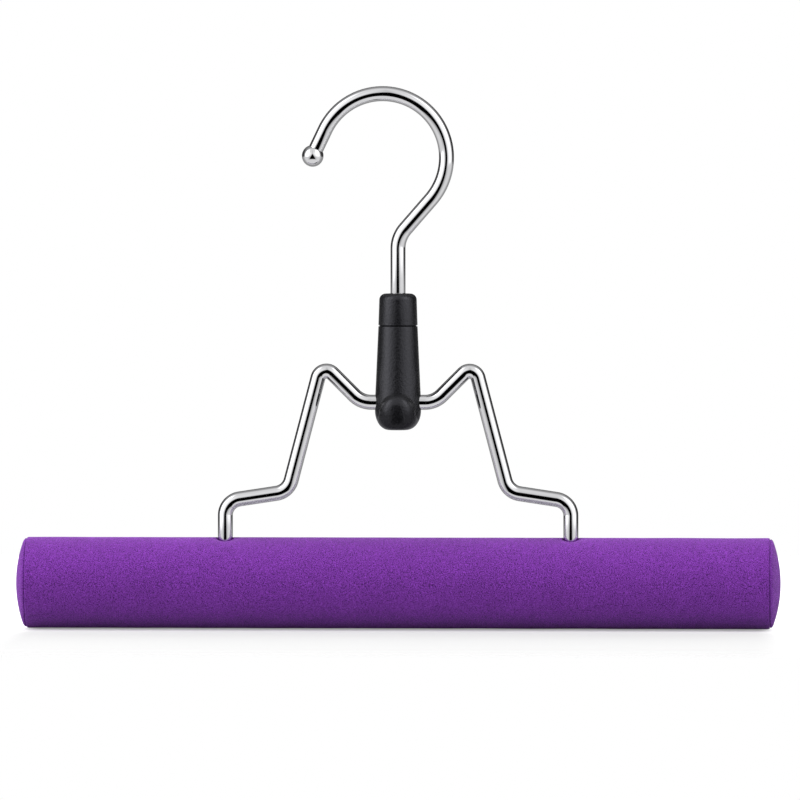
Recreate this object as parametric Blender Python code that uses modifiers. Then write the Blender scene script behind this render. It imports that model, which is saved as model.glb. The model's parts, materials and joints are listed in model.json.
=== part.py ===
"""A wig hanger: a swivel hook, a moulded sleeve, a bent wire frame and a padded bar.

Metres, with +Z up. X runs along the bar and Y from front to back. The origin is the point
inside the crook that rests on a rod, straight above the axis that the hook turns on.
Heights in this file count from the run, the level piece of frame wire inside the sleeve.
"""

import math

import bmesh
import bpy
from mathutils import Vector

MM = 0.001

# Fits
CLEARANCE = 0.3 * MM
OVERRUN = 2.0 * MM
WELD_DISTANCE = 0.01 * MM

# Wire, the same for the hook and the frame; a bend's radius is the one inside it
WIRE_DIAMETER = 5.0 * MM
STEM_BEND_INSIDE = 7.5 * MM
RUN_BEND_INSIDE = 5.5 * MM
HUMP_BEND_INSIDE = 0.4 * MM
KNEE_BEND_INSIDE = 3.5 * MM
STUB_BEND_INSIDE = 3.0 * MM

# Hook: the crook's wire centre line, the slant under it, the stem and the ball
CROOK_RADIUS = 21.2 * MM
CROOK_REACH = 5.1 * MM
CROOK_HEEL_ANGLE = math.radians(-41)
CROOK_TIP_ANGLE = math.radians(154.5)
TIP_LENGTH = 9.5 * MM
BALL_WALL = 0.8 * MM
STEM_LENGTH = 18.65 * MM

# Sleeve: shoulder at its top, full width at the run, round foot
SLEEVE_RISE = 24.8 * MM
SLEEVE_DROP = 9.1 * MM
SLEEVE_TOP_DIAMETER = 13.0 * MM
SLEEVE_FLARE = 1.15 * MM
SLEEVE_FOOT_DIAMETER = 6.0 * MM
SLEEVE_FOOT_ROUND_HEIGHT = 6.3 * MM
GROOVE_HEIGHT = 0.7 * MM
GROOVE_DEPTH = 0.45 * MM

# Domes on the sleeve, one on each shell, level with its foot
DOME_DIAMETER = 12.2 * MM
DOME_SINK = 1.45 * MM
DOME_PROUD = 3.7 * MM

# Pegs that locate the two shells, halfway through the wall that they stand in
PEG_DIAMETER = 1.5 * MM
PEG_REACH = 1.6 * MM
UPPER_PEG_RISE = 17.0 * MM
LOWER_PEG_OFFSET = 3.0 * MM

# Collar and washer on the stem
COLLAR_HEIGHT = 10.6 * MM
COLLAR_TAPER = 0.35 * MM
COLLAR_EDGE_RADIUS = 2.3 * MM
COLLAR_POCKET_WALL = 1.5 * MM
WASHER_THICKNESS = 0.9 * MM
EDGE_WALL_SHARE = 0.7

# Retainer ring on the foot of the stem, in its pocket in the sleeve
RING_WALL = 1.7 * MM
RING_HEIGHT = 2.4 * MM
STEM_END_BELOW_RING = 0.4 * MM
STEM_END_SPARE = 0.4 * MM
POCKET_FLOOR_THICKNESS = 4.0 * MM

# Frame: the corners of the wire's centre line, counted from the middle of the run
RUN_OUTSIDE_LENGTH = 4.55 * MM
HUMP_HALF_WIDTH = 25.3 * MM
HUMP_RISE = 13.05 * MM
KNEE_HALF_WIDTH = 36.5 * MM
KNEE_DROP = 29.7 * MM
STUB_HALF_SPACING = 57.4 * MM
STEP_FALL = 3.2 * MM
STUB_HEIGHT = 12.0 * MM
STUB_DEPTH_IN_BAR = 16.0 * MM

# Bar: cloth over foam over a dowel, with domed ends
BAR_LENGTH = 254.0 * MM
BAR_DIAMETER = 30.2 * MM
END_DOME_RADIUS = 41.0 * MM
END_CORNER_RADIUS = 2.2 * MM
SEAM_TURN_SHARE = 0.39
COVER_THICKNESS = 0.8 * MM
COVER_HOLE_SLACK = 0.7 * MM
FOAM_THICKNESS = 3.7 * MM
END_PAD_SIDE_LENGTH = 2.7 * MM
BLIND_HOLE_SPARE = 0.5 * MM

# Facets of each kind of shape
BEND_STEP = math.radians(11)
WIRE_BEVEL_RESOLUTION = 4
SHARP_ANGLE = math.radians(35)
BAR_STEPS = 36
TURNED_STEPS = 32
CUTTER_STEPS = 24
PEG_STEPS = 12
BALL_SEGMENTS = 20
BALL_RINGS = 12
DOME_SEGMENTS = 24
DOME_RINGS = 16
ROUNDING_STEPS = 4
END_CORNER_STEPS = 3
END_DOME_STEPS = 4

# Sizes of the hook and the sleeve that follow from the ones above
WIRE_RADIUS = WIRE_DIAMETER / 2
BORE_RADIUS = WIRE_RADIUS + CLEARANCE
BALL_RADIUS = BORE_RADIUS + BALL_WALL
SLEEVE_TOP_RADIUS = SLEEVE_TOP_DIAMETER / 2
SLEEVE_FULL_RADIUS = SLEEVE_TOP_RADIUS + SLEEVE_FLARE
SPIGOT_HEIGHT = GROOVE_HEIGHT - CLEARANCE
COLLAR_FOOT_RISE = SLEEVE_RISE + GROOVE_HEIGHT
COLLAR_TOP_RISE = COLLAR_FOOT_RISE + COLLAR_HEIGHT
COLLAR_POCKET_RADIUS = SLEEVE_TOP_RADIUS - COLLAR_POCKET_WALL
RING_RISE = BORE_RADIUS + POCKET_FLOOR_THICKNESS + STEM_END_SPARE + STEM_END_BELOW_RING
STEM_END_RISE = RING_RISE - STEM_END_BELOW_RING
RING_RADIUS = BORE_RADIUS + RING_WALL
DOME_RADIUS = DOME_DIAMETER / 2

# The slant leaves the crook along its tangent and meets the stem's axis at the stem's corner
HEEL_REACH = CROOK_RADIUS * math.cos(CROOK_HEEL_ANGLE) - CROOK_REACH
HEEL_DROP = -CROOK_RADIUS * math.sin(CROOK_HEEL_ANGLE)
SLANT_DROP = -HEEL_REACH / math.tan(CROOK_HEEL_ANGLE)
STEM_CORNER_RISE = COLLAR_TOP_RISE + STEM_LENGTH
CROOK_RISE = STEM_CORNER_RISE + SLANT_DROP + HEEL_DROP
CROOK_INNER_RADIUS = CROOK_RADIUS - WIRE_RADIUS
RUN_HEIGHT = -math.sqrt(CROOK_INNER_RADIUS**2 - CROOK_REACH**2) - CROOK_RISE

# Sizes of the bar that follow from the ones above
BAR_RADIUS = BAR_DIAMETER / 2
BAR_HALF_LENGTH = BAR_LENGTH / 2
BAR_DROP = KNEE_DROP + STEP_FALL + STUB_HEIGHT + BAR_RADIUS
STUB_END_DROP = BAR_DROP - BAR_RADIUS + STUB_DEPTH_IN_BAR
COVER_HOLE_RADIUS = WIRE_RADIUS + COVER_HOLE_SLACK
PAD_INSET = COVER_THICKNESS + CLEARANCE
PAD_RADIUS = BAR_RADIUS - PAD_INSET
CORE_RADIUS = PAD_RADIUS - FOAM_THICKNESS - CLEARANCE

# The round between the bar's side and its domed end touches both
END_DOME_LENGTH = BAR_HALF_LENGTH - END_DOME_RADIUS
END_CORNER_RADIAL = BAR_RADIUS - END_CORNER_RADIUS
END_CORNER_REACH = END_DOME_RADIUS - END_CORNER_RADIUS
END_CORNER_LENGTH = END_DOME_LENGTH + math.sqrt(END_CORNER_REACH**2 - END_CORNER_RADIAL**2)
END_DOME_LEAN = math.asin(END_CORNER_RADIAL / END_CORNER_REACH)
END_CORNER_TURN = math.pi / 2 - END_DOME_LEAN
SEAM_ANGLE = END_CORNER_TURN * SEAM_TURN_SHARE
SEAM_HALF_GAP_ANGLE = CLEARANCE / 2 / (END_CORNER_RADIUS - COVER_THICKNESS)
PAD_BACK_LENGTH = END_CORNER_LENGTH - END_PAD_SIDE_LENGTH
CORE_HALF_LENGTH = PAD_BACK_LENGTH - CLEARANCE

# Colours are linear, as the shader takes them
CHROME = ("chrome", (0.78, 0.78, 0.80, 1.0), 0.10, 1.0)
BLACK_PLASTIC = ("black_plastic", (0.012, 0.012, 0.014, 1.0), 0.45, 0.0)
WHITE_PLASTIC = ("white_plastic", (0.75, 0.74, 0.70, 1.0), 0.40, 0.0)
STEEL = ("steel", (0.45, 0.45, 0.46, 1.0), 0.35, 1.0)
PURPLE_CLOTH = ("purple_cloth", (0.165, 0.038, 0.290, 1.0), 0.90, 0.0)
FOAM = ("foam", (0.62, 0.60, 0.52, 1.0), 0.95, 0.0)
WOOD = ("wood", (0.50, 0.33, 0.17, 1.0), 0.60, 0.0)


def clear_scene():
    for old in list(bpy.data.objects):
        bpy.data.objects.remove(old, do_unlink=True)


def new_collection(name):
    collection = bpy.data.collections.new(name)
    bpy.context.scene.collection.children.link(collection)
    return collection


def material_for(name, finish):
    """Each piece has its own material, named for the piece and its finish."""
    finish_name, color, roughness, metallic = finish
    material = bpy.data.materials.new(name + "_" + finish_name)
    material.use_nodes = True
    shader = material.node_tree.nodes["Principled BSDF"]
    shader.inputs["Base Color"].default_value = color
    shader.inputs["Roughness"].default_value = roughness
    shader.inputs["Metallic"].default_value = metallic
    material.diffuse_color = color
    return material


def add_empty(name, parent, location):
    empty = bpy.data.objects.new(name, None)
    parts.objects.link(empty)
    empty.parent = parent
    empty.location = location
    return empty


def add_part(name, data, finish, parent, location=(0, 0, 0), rotation=(0, 0, 0)):
    part = bpy.data.objects.new(name, data)
    parts.objects.link(part)
    part.parent = parent
    part.location = location
    part.rotation_euler = rotation
    if not data.materials:
        data.materials.append(material_for(name, finish))
    return part


def add_cutter(name, data, parent, location=(0, 0, 0), rotation=(0, 0, 0)):
    cutter = bpy.data.objects.new(name, data)
    cutters.objects.link(cutter)
    cutter.parent = parent
    cutter.location = location
    cutter.rotation_euler = rotation
    cutter.hide_render = True
    cutter.display_type = "WIRE"
    return cutter


def boolean(part, operation, other):
    modifier = part.modifiers.new(operation.lower() + "_" + other.name, "BOOLEAN")
    modifier.operation = operation
    modifier.object = other
    modifier.solver = "EXACT"


def round_smooth(part):
    part.data.shade_smooth()
    part.data.set_sharp_from_angle(angle=SHARP_ANGLE)


def arc_points(centre, radius, start, end):
    """Points of an arc in the plane of the hanger, ends included."""
    count = max(1, math.ceil(abs(end - start) / BEND_STEP))
    points = []
    for index in range(count + 1):
        angle = start + (end - start) * index / count
        points.append(centre + radius * Vector((math.cos(angle), math.sin(angle))))
    return points


def bent_corner(before, corner, after, inside_radius):
    """The arc that rounds off one corner of a wire's centre line."""
    radius = WIRE_RADIUS + inside_radius
    inward = (before - corner).normalized()
    outward = (after - corner).normalized()
    half_opening = inward.angle(outward) / 2
    tangent_length = radius / math.tan(half_opening)
    centre = corner + (inward + outward).normalized() * radius / math.sin(half_opening)
    first = corner + inward * tangent_length - centre
    last = corner + outward * tangent_length - centre
    start = math.atan2(first.y, first.x)
    turn = math.pi - 2 * half_opening
    if first.x * last.y - first.y * last.x < 0:
        turn = -turn
    return arc_points(centre, radius, start, start + turn)


def bent_path(corners, inside_radii):
    """A centre line through corners, each inner one bent round its radius."""
    points = [corners[0]]
    for before, corner, after, inside in zip(corners, corners[1:], corners[2:], inside_radii):
        points.extend(bent_corner(before, corner, after, inside))
    points.append(corners[-1])
    return points


def wire_curve(name, points):
    """A round wire along points of (x, height)."""
    curve = bpy.data.curves.new(name, "CURVE")
    curve.dimensions = "3D"
    curve.bevel_depth = WIRE_RADIUS
    curve.bevel_resolution = WIRE_BEVEL_RESOLUTION
    curve.use_fill_caps = True
    curve.render_resolution_u = 0
    spline = curve.splines.new("POLY")
    spline.points.add(len(points) - 1)
    for spot, point in zip(spline.points, points):
        spot.co = (point.x, 0, point.y, 1)
    spline.use_smooth = True
    return curve


def turned_mesh(name, profile, closed):
    """The half section of a turned piece: points of (radius, height), down its outer side."""
    mesh = bpy.data.meshes.new(name)
    shape = bmesh.new()
    corners = [shape.verts.new((radius, 0, height)) for radius, height in profile]
    for first, second in zip(corners, corners[1:]):
        shape.edges.new((first, second))
    if closed:
        shape.edges.new((corners[-1], corners[0]))
    shape.to_mesh(mesh)
    shape.free()
    return mesh


def turn(part, steps):
    screw = part.modifiers.new("turned", "SCREW")
    screw.axis = "Z"
    screw.steps = steps
    screw.render_steps = steps
    screw.use_merge_vertices = True
    screw.merge_threshold = WELD_DISTANCE
    screw.use_smooth_shade = True


def ring_profile(inner, outer, bottom, top):
    return [(outer, top), (outer, bottom), (inner, bottom), (inner, top)]


def quarter_round(centre, width, height, start, end):
    """Points of a quarter circle or ellipse, from angle start to angle end."""
    points = []
    for index in range(ROUNDING_STEPS + 1):
        angle = math.radians(start + (end - start) * index / ROUNDING_STEPS)
        across = centre[0] + width * math.cos(angle)
        up = centre[1] + height * math.sin(angle)
        points.append((across, up))
    return points


def cylinder_mesh(name, radius, bottom, top, steps):
    mesh = bpy.data.meshes.new(name)
    shape = bmesh.new()
    length = top - bottom
    bmesh.ops.create_cone(
        shape, cap_ends=True, segments=steps, radius1=radius, radius2=radius, depth=length
    )
    bmesh.ops.translate(shape, verts=shape.verts, vec=(0, 0, bottom + length / 2))
    shape.to_mesh(mesh)
    shape.free()
    return mesh


def ellipsoid_mesh(name, size, segments, rings):
    """A ball stretched to half widths of size along X, Y and Z."""
    mesh = bpy.data.meshes.new(name)
    shape = bmesh.new()
    bmesh.ops.create_uvsphere(shape, u_segments=segments, v_segments=rings, radius=1)
    bmesh.ops.scale(shape, verts=shape.verts, vec=size)
    shape.to_mesh(mesh)
    shape.free()
    return mesh


def crook_point(angle):
    """The point of the crook's centre line at an angle round it."""
    centre = Vector((-CROOK_REACH, CROOK_RISE))
    return centre + CROOK_RADIUS * Vector((math.cos(angle), math.sin(angle)))


def tip_direction():
    """The way that the wire leaves the crook at its tip."""
    return Vector((-math.sin(CROOK_TIP_ANGLE), math.cos(CROOK_TIP_ANGLE)))


def ball_centre():
    return crook_point(CROOK_TIP_ANGLE) + tip_direction() * TIP_LENGTH


def make_hook_wire(parent):
    """Tip, crook, slant, and the stem down to its end inside the sleeve."""
    centre = Vector((-CROOK_REACH, CROOK_RISE))
    crook = arc_points(centre, CROOK_RADIUS, CROOK_TIP_ANGLE, CROOK_HEEL_ANGLE)
    stem_corner = Vector((0, STEM_CORNER_RISE))
    stem_end = Vector((0, STEM_END_RISE))
    points = [ball_centre() - tip_direction() * CLEARANCE] + crook
    points += bent_corner(crook[-1], stem_corner, stem_end, STEM_BEND_INSIDE)
    points.append(stem_end)
    add_part("hook_wire", wire_curve("hook_wire", points), CHROME, parent)


def make_ball_tip(parent):
    """The ball, bored to its middle for the end of the wire."""
    centre = ball_centre()
    place = (centre.x, 0, centre.y)
    size = (BALL_RADIUS, BALL_RADIUS, BALL_RADIUS)
    ball = ellipsoid_mesh("ball_tip", size, BALL_SEGMENTS, BALL_RINGS)
    part = add_part("ball_tip", ball, CHROME, parent, place)
    bore = cylinder_mesh("ball_bore", BORE_RADIUS, 0, BALL_RADIUS + OVERRUN, CUTTER_STEPS)
    back = -tip_direction()
    lean = (0, math.atan2(back.x, back.y), 0)
    boolean(part, "DIFFERENCE", add_cutter("ball_bore", bore, parent, place, lean))
    round_smooth(part)


def make_swivel_collar(parent):
    """The collar round the stem, hollow below for the washer."""
    top_radius = SLEEVE_TOP_RADIUS - COLLAR_TAPER
    pocket_top = COLLAR_FOOT_RISE + WASHER_THICKNESS + CLEARANCE
    edge = min(COLLAR_EDGE_RADIUS, EDGE_WALL_SHARE * (top_radius - BORE_RADIUS))
    profile = [(BORE_RADIUS, COLLAR_TOP_RISE)]
    profile += quarter_round((top_radius - edge, COLLAR_TOP_RISE - edge), edge, edge, 90, 0)
    profile.append((SLEEVE_TOP_RADIUS, COLLAR_FOOT_RISE))
    profile.append((COLLAR_POCKET_RADIUS, COLLAR_FOOT_RISE))
    profile.append((COLLAR_POCKET_RADIUS, pocket_top))
    profile.append((BORE_RADIUS, pocket_top))
    mesh = turned_mesh("swivel_collar", profile, closed=True)
    turn(add_part("swivel_collar", mesh, BLACK_PLASTIC, parent), TURNED_STEPS)


def make_thrust_washer(parent):
    """The washer in the collar's pocket, bearing on the sleeve's spigot."""
    outer = COLLAR_POCKET_RADIUS - CLEARANCE
    top = COLLAR_FOOT_RISE + WASHER_THICKNESS
    mesh = turned_mesh("thrust_washer", ring_profile(BORE_RADIUS, outer, COLLAR_FOOT_RISE, top), True)
    turn(add_part("thrust_washer", mesh, WHITE_PLASTIC, parent), TURNED_STEPS)


def make_retainer_ring(parent):
    """The ring pressed on the foot of the stem, which carries the sleeve."""
    profile = ring_profile(BORE_RADIUS, RING_RADIUS, RING_RISE, RING_RISE + RING_HEIGHT)
    mesh = turned_mesh("retainer_ring", profile, closed=True)
    turn(add_part("retainer_ring", mesh, STEEL, parent), TURNED_STEPS)


def sleeve_profile():
    """Down the outside: spigot, shoulder, taper to the run, round foot."""
    spigot_radius = SLEEVE_TOP_RADIUS - GROOVE_DEPTH
    foot_radius = SLEEVE_FOOT_DIAMETER / 2
    round_width = SLEEVE_FULL_RADIUS - foot_radius
    round_centre = (foot_radius, SLEEVE_FOOT_ROUND_HEIGHT - SLEEVE_DROP)
    profile = [(0, SLEEVE_RISE + SPIGOT_HEIGHT)]
    profile.append((spigot_radius, SLEEVE_RISE + SPIGOT_HEIGHT))
    profile.append((spigot_radius, SLEEVE_RISE))
    profile.append((SLEEVE_TOP_RADIUS, SLEEVE_RISE))
    profile.append((SLEEVE_FULL_RADIUS, 0))
    profile += quarter_round(round_centre, round_width, SLEEVE_FOOT_ROUND_HEIGHT, 0, -90)
    profile.append((0, -SLEEVE_DROP))
    return profile


def peg_places():
    """Where this shell has a peg, and across the stem the socket for the other's."""
    taper = SLEEVE_FLARE * UPPER_PEG_RISE / SLEEVE_RISE
    upper_offset = (BORE_RADIUS + SLEEVE_FULL_RADIUS - taper) / 2
    lower_drop = (BORE_RADIUS + SLEEVE_DROP) / 2
    return [(upper_offset, UPPER_PEG_RISE), (-LOWER_PEG_OFFSET, -lower_drop)]


def add_locators(shell, parent):
    """Pegs that stand out of the joint face, and sockets for those of the other shell."""
    face = -CLEARANCE / 2
    socket_floor = face - PEG_REACH
    socket_radius = PEG_DIAMETER / 2 + CLEARANCE
    along_y = (-math.pi / 2, 0, 0)
    peg = cylinder_mesh("peg", PEG_DIAMETER / 2, socket_floor, face + PEG_REACH, PEG_STEPS)
    socket = cylinder_mesh("socket", socket_radius, socket_floor, OVERRUN, PEG_STEPS)
    for number, (across, up) in enumerate(peg_places()):
        peg_guide = add_cutter("peg_%d" % number, peg, parent, (across, 0, up), along_y)
        socket_cutter = add_cutter("socket_%d" % number, socket, parent, (-across, 0, up), along_y)
        boolean(shell, "UNION", peg_guide)
        boolean(shell, "DIFFERENCE", socket_cutter)


def add_dome(shell, parent):
    """A round dome low on the shell's face, its lowest point level with the foot."""
    depth = DOME_SINK + DOME_PROUD
    dome = ellipsoid_mesh("dome", (DOME_RADIUS, depth, DOME_RADIUS), DOME_SEGMENTS, DOME_RINGS)
    place = (0, DOME_SINK - SLEEVE_FULL_RADIUS, DOME_RADIUS - SLEEVE_DROP)
    boolean(shell, "UNION", add_cutter("dome", dome, parent, place))


def split_off_rear(shell, parent):
    """Cut away everything behind the joint face."""
    half_size = SLEEVE_RISE + SLEEVE_DROP
    block = bpy.data.meshes.new("rear_half")
    shape = bmesh.new()
    bmesh.ops.create_cube(shape, size=2 * half_size)
    shape.to_mesh(block)
    shape.free()
    place = (0, half_size - CLEARANCE / 2, 0)
    boolean(shell, "DIFFERENCE", add_cutter("rear_half", block, parent, place))


def bore_shell(shell, parent):
    """The stem's bore, the retainer ring's pocket and the cross bore for the run."""
    pocket_radius = RING_RADIUS + CLEARANCE
    pocket_floor = STEM_END_RISE - STEM_END_SPARE
    pocket_top = RING_RISE + RING_HEIGHT + CLEARANCE
    bore_top = COLLAR_FOOT_RISE + OVERRUN
    half_run = SLEEVE_FULL_RADIUS + OVERRUN
    pocket = cylinder_mesh("ring_pocket", pocket_radius, pocket_floor, pocket_top, CUTTER_STEPS)
    stem_bore = cylinder_mesh("stem_bore", BORE_RADIUS, pocket_floor, bore_top, CUTTER_STEPS)
    run_bore = cylinder_mesh("run_bore", BORE_RADIUS, -half_run, half_run, CUTTER_STEPS)
    along_x = (0, math.pi / 2, 0)
    boolean(shell, "DIFFERENCE", add_cutter("ring_pocket", pocket, parent))
    boolean(shell, "DIFFERENCE", add_cutter("stem_bore", stem_bore, parent))
    boolean(shell, "DIFFERENCE", add_cutter("run_bore", run_bore, parent, (0, 0, 0), along_x))


def make_sleeve_shells(parent):
    """Two shells from one mould: the rear one is the front one turned half a turn."""
    mesh = turned_mesh("sleeve_front_shell", sleeve_profile(), closed=False)
    front = add_part("sleeve_front_shell", mesh, BLACK_PLASTIC, parent)
    turn(front, TURNED_STEPS)
    add_dome(front, parent)
    split_off_rear(front, parent)
    bore_shell(front, parent)
    add_locators(front, parent)

    bpy.context.view_layer.update()
    graph = bpy.context.evaluated_depsgraph_get()
    rear_mesh = bpy.data.meshes.new_from_object(front.evaluated_get(graph))
    rear_mesh.name = "sleeve_rear_shell"
    rear_mesh.materials.clear()
    half_turn = (0, 0, math.pi)
    rear = add_part("sleeve_rear_shell", rear_mesh, BLACK_PLASTIC, parent, (0, 0, 0), half_turn)
    round_smooth(rear)


def frame_corners():
    """The right half of the frame, from its run to the end of its stub."""
    run_end = Vector((SLEEVE_FULL_RADIUS + RUN_OUTSIDE_LENGTH, 0))
    hump = Vector((HUMP_HALF_WIDTH, HUMP_RISE))
    knee = Vector((KNEE_HALF_WIDTH, -KNEE_DROP))
    step_end = Vector((STUB_HALF_SPACING, -KNEE_DROP - STEP_FALL))
    stub_end = Vector((STUB_HALF_SPACING, -STUB_END_DROP))
    return [run_end, hump, knee, step_end, stub_end]


def make_frame_wire(parent):
    """Stub, step, leg, hump, run, and the same again the other way round."""
    right = frame_corners()
    left = [Vector((-corner.x, corner.y)) for corner in reversed(right)]
    right_bends = [RUN_BEND_INSIDE, HUMP_BEND_INSIDE, KNEE_BEND_INSIDE, STUB_BEND_INSIDE]
    points = bent_path(left + right, right_bends[::-1] + right_bends)
    add_part("frame_wire", wire_curve("frame_wire", points), CHROME, parent)


def corner_arc(inset, first, last):
    """Points of (radius, length) round the bar's corner, between two angles from its side."""
    radius = END_CORNER_RADIUS - inset
    points = []
    for index in range(END_CORNER_STEPS + 1):
        angle = first + (last - first) * index / END_CORNER_STEPS
        length = END_CORNER_LENGTH + radius * math.sin(angle)
        points.append((END_CORNER_RADIAL + radius * math.cos(angle), length))
    return points


def end_outline(inset, first):
    """The bar's outer line, moved in by inset: round the corner and over the dome to its tip."""
    points = corner_arc(inset, first, END_CORNER_TURN)
    radius = END_DOME_RADIUS - inset
    for index in range(1, END_DOME_STEPS + 1):
        angle = END_DOME_LEAN * (1 - index / END_DOME_STEPS)
        points.append((radius * math.sin(angle), END_DOME_LENGTH + radius * math.cos(angle)))
    return points


def add_turned_bar_part(name, profile, closed, finish, parent, facing=1):
    """A piece turned about the bar's axis; facing is -1 for the left end."""
    mesh = turned_mesh(name, profile, closed)
    along_x = (0, facing * math.pi / 2, 0)
    part = add_part(name, mesh, finish, parent, (0, 0, -BAR_DROP), along_x)
    turn(part, BAR_STEPS)
    return part


def bore_for_stubs(part, radius, floor, parent):
    """Cut the two upright holes that the stubs pass through or end in."""
    top = BAR_RADIUS + OVERRUN - BAR_DROP
    for side, across in (("left", -STUB_HALF_SPACING), ("right", STUB_HALF_SPACING)):
        name = part.name + "_hole_" + side
        hole = cylinder_mesh(name, radius, floor, top, CUTTER_STEPS)
        boolean(part, "DIFFERENCE", add_cutter(name, hole, parent, (across, 0, 0)))


def make_cover_tube(parent):
    """The cloth tube, drawn in a little where the end panels are sewn to it."""
    last = SEAM_ANGLE - SEAM_HALF_GAP_ANGLE
    outer = corner_arc(0, 0, last)
    inner = corner_arc(COVER_THICKNESS, 0, last)
    profile = outer[::-1] + [(radial, -length) for radial, length in outer]
    profile += [(radial, -length) for radial, length in reversed(inner)] + inner
    part = add_turned_bar_part("cover_tube", profile, True, PURPLE_CLOTH, parent)
    bore_for_stubs(part, COVER_HOLE_RADIUS, -BAR_DROP, parent)


def make_foam_pad(parent):
    inner = CORE_RADIUS + CLEARANCE
    profile = ring_profile(inner, PAD_RADIUS, -CORE_HALF_LENGTH, CORE_HALF_LENGTH)
    part = add_turned_bar_part("foam_pad", profile, True, FOAM, parent)
    bore_for_stubs(part, COVER_HOLE_RADIUS, -BAR_DROP, parent)


def make_bar_core(parent):
    """The dowel, with a blind hole for each stub."""
    top = CORE_HALF_LENGTH
    profile = [(0, top), (CORE_RADIUS, top), (CORE_RADIUS, -top), (0, -top)]
    part = add_turned_bar_part("bar_core", profile, False, WOOD, parent)
    bore_for_stubs(part, BORE_RADIUS, -STUB_END_DROP - BLIND_HOLE_SPARE, parent)


def make_bar_end(side, facing, parent):
    """One end of the bar: a domed foam pad under a domed cloth panel."""
    pad_profile = end_outline(PAD_INSET, 0)[::-1]
    pad_profile += [(PAD_RADIUS, PAD_BACK_LENGTH), (0, PAD_BACK_LENGTH)]
    add_turned_bar_part("end_pad_" + side, pad_profile, False, FOAM, parent, facing)
    first = SEAM_ANGLE + SEAM_HALF_GAP_ANGLE
    panel_profile = end_outline(0, first)[::-1] + end_outline(COVER_THICKNESS, first)
    add_turned_bar_part("end_panel_" + side, panel_profile, False, PURPLE_CLOTH, parent, facing)


clear_scene()
parts = new_collection("wig_hanger")
cutters = new_collection("cutters")
hook_origin = add_empty("hook_origin", None, (0, 0, RUN_HEIGHT))
swivel_origin = add_empty("swivel_origin", hook_origin, (0, 0, 0))
pivot_origin = add_empty("pivot_origin", swivel_origin, (0, 0, 0))

make_hook_wire(hook_origin)
make_ball_tip(hook_origin)
make_swivel_collar(hook_origin)
make_thrust_washer(hook_origin)
make_retainer_ring(hook_origin)
make_sleeve_shells(swivel_origin)
make_frame_wire(pivot_origin)
make_bar_core(pivot_origin)
make_foam_pad(pivot_origin)
make_cover_tube(pivot_origin)
make_bar_end("left", -1, pivot_origin)
make_bar_end("right", 1, pivot_origin)
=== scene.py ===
# %% [markdown]
# # Dressing a wig hanger
# The real hanger has five visible things: a chrome hook with a ball on its end, a black collar,
# a black sleeve in two halves, a bent chrome wire, and a round bar covered in purple cloth.
# A fixed frame of plain solids already gives every size and every place. This lesson puts the
# fine surfaces over those solids and gives each one its finish. The solids themselves are never
# moved: each new piece rides on the body that its solid belongs to, and stands for that solid.

# %% Load the fixed frame
import json
import math

import bmesh
import bpy
from mathutils import Matrix, Vector, noise


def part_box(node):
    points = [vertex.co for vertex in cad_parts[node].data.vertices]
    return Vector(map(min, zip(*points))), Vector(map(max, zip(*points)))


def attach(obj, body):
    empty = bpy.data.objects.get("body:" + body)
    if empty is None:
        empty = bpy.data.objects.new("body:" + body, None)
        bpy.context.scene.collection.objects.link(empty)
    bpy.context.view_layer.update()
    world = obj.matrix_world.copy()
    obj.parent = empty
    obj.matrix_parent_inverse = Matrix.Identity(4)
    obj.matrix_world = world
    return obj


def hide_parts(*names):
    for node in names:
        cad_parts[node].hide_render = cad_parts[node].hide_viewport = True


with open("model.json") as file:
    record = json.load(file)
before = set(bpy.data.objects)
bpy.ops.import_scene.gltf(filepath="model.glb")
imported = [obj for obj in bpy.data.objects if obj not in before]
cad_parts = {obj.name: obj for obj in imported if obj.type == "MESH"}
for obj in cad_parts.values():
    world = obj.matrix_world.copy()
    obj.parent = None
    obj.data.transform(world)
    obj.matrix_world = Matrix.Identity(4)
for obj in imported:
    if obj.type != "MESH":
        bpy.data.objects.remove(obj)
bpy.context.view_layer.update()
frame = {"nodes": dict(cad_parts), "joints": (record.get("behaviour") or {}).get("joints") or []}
print("solids:", ", ".join(sorted(frame["nodes"])))

# %% [markdown]
# ## Places and sizes
# Lengths are metres, and MM makes them readable. What the frame knows is measured from it: the
# run, which is the level piece of wire inside the sleeve, the bar, the collar and the sleeve.
# What a box can't tell, such as a bend's radius, is named where it is used.

# %% Measure the frame
MM = 0.001
UNIT = 1.0
WELD = 0.001 * MM
CLEARANCE = 0.3 * MM
RUN_HEIGHT = frame["joints"][0]["pos_m"][2]
COVER_LOW, COVER_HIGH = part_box("cover_tube")
BAR_RADIUS = (COVER_HIGH.y - COVER_LOW.y) / 2
BAR_HEIGHT = (COVER_HIGH.z + COVER_LOW.z) / 2
BAR_HALF_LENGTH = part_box("end_panel_right")[1].x
COLLAR_LOW, COLLAR_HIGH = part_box("swivel_collar")
SLEEVE_LOW, SLEEVE_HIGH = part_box("sleeve_front_shell")
print("run at %.2f mm, bar at %.2f mm" % (RUN_HEIGHT / MM, BAR_HEIGHT / MM))
print("bar %.1f mm thick and %.1f mm long" % (2 * BAR_RADIUS / MM, 2 * BAR_HALF_LENGTH / MM))

# %% [markdown]
# ## Helpers for materials
# A material here is a small network of nodes round one Principled shader. Typing every node by
# hand hides what matters, so one helper makes a node, sets its options and fills its sockets.
# Most masks below are soft steps of some distance or direction, which the ramp makes.

# %% Node helpers
def set_inputs(tree, node, inputs):
    """Fill sockets by name or number: a value is set, another node's output is linked."""
    for name, value in inputs.items():
        if isinstance(value, bpy.types.NodeSocket):
            tree.links.new(value, node.inputs[name])
        else:
            node.inputs[name].default_value = value


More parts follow.
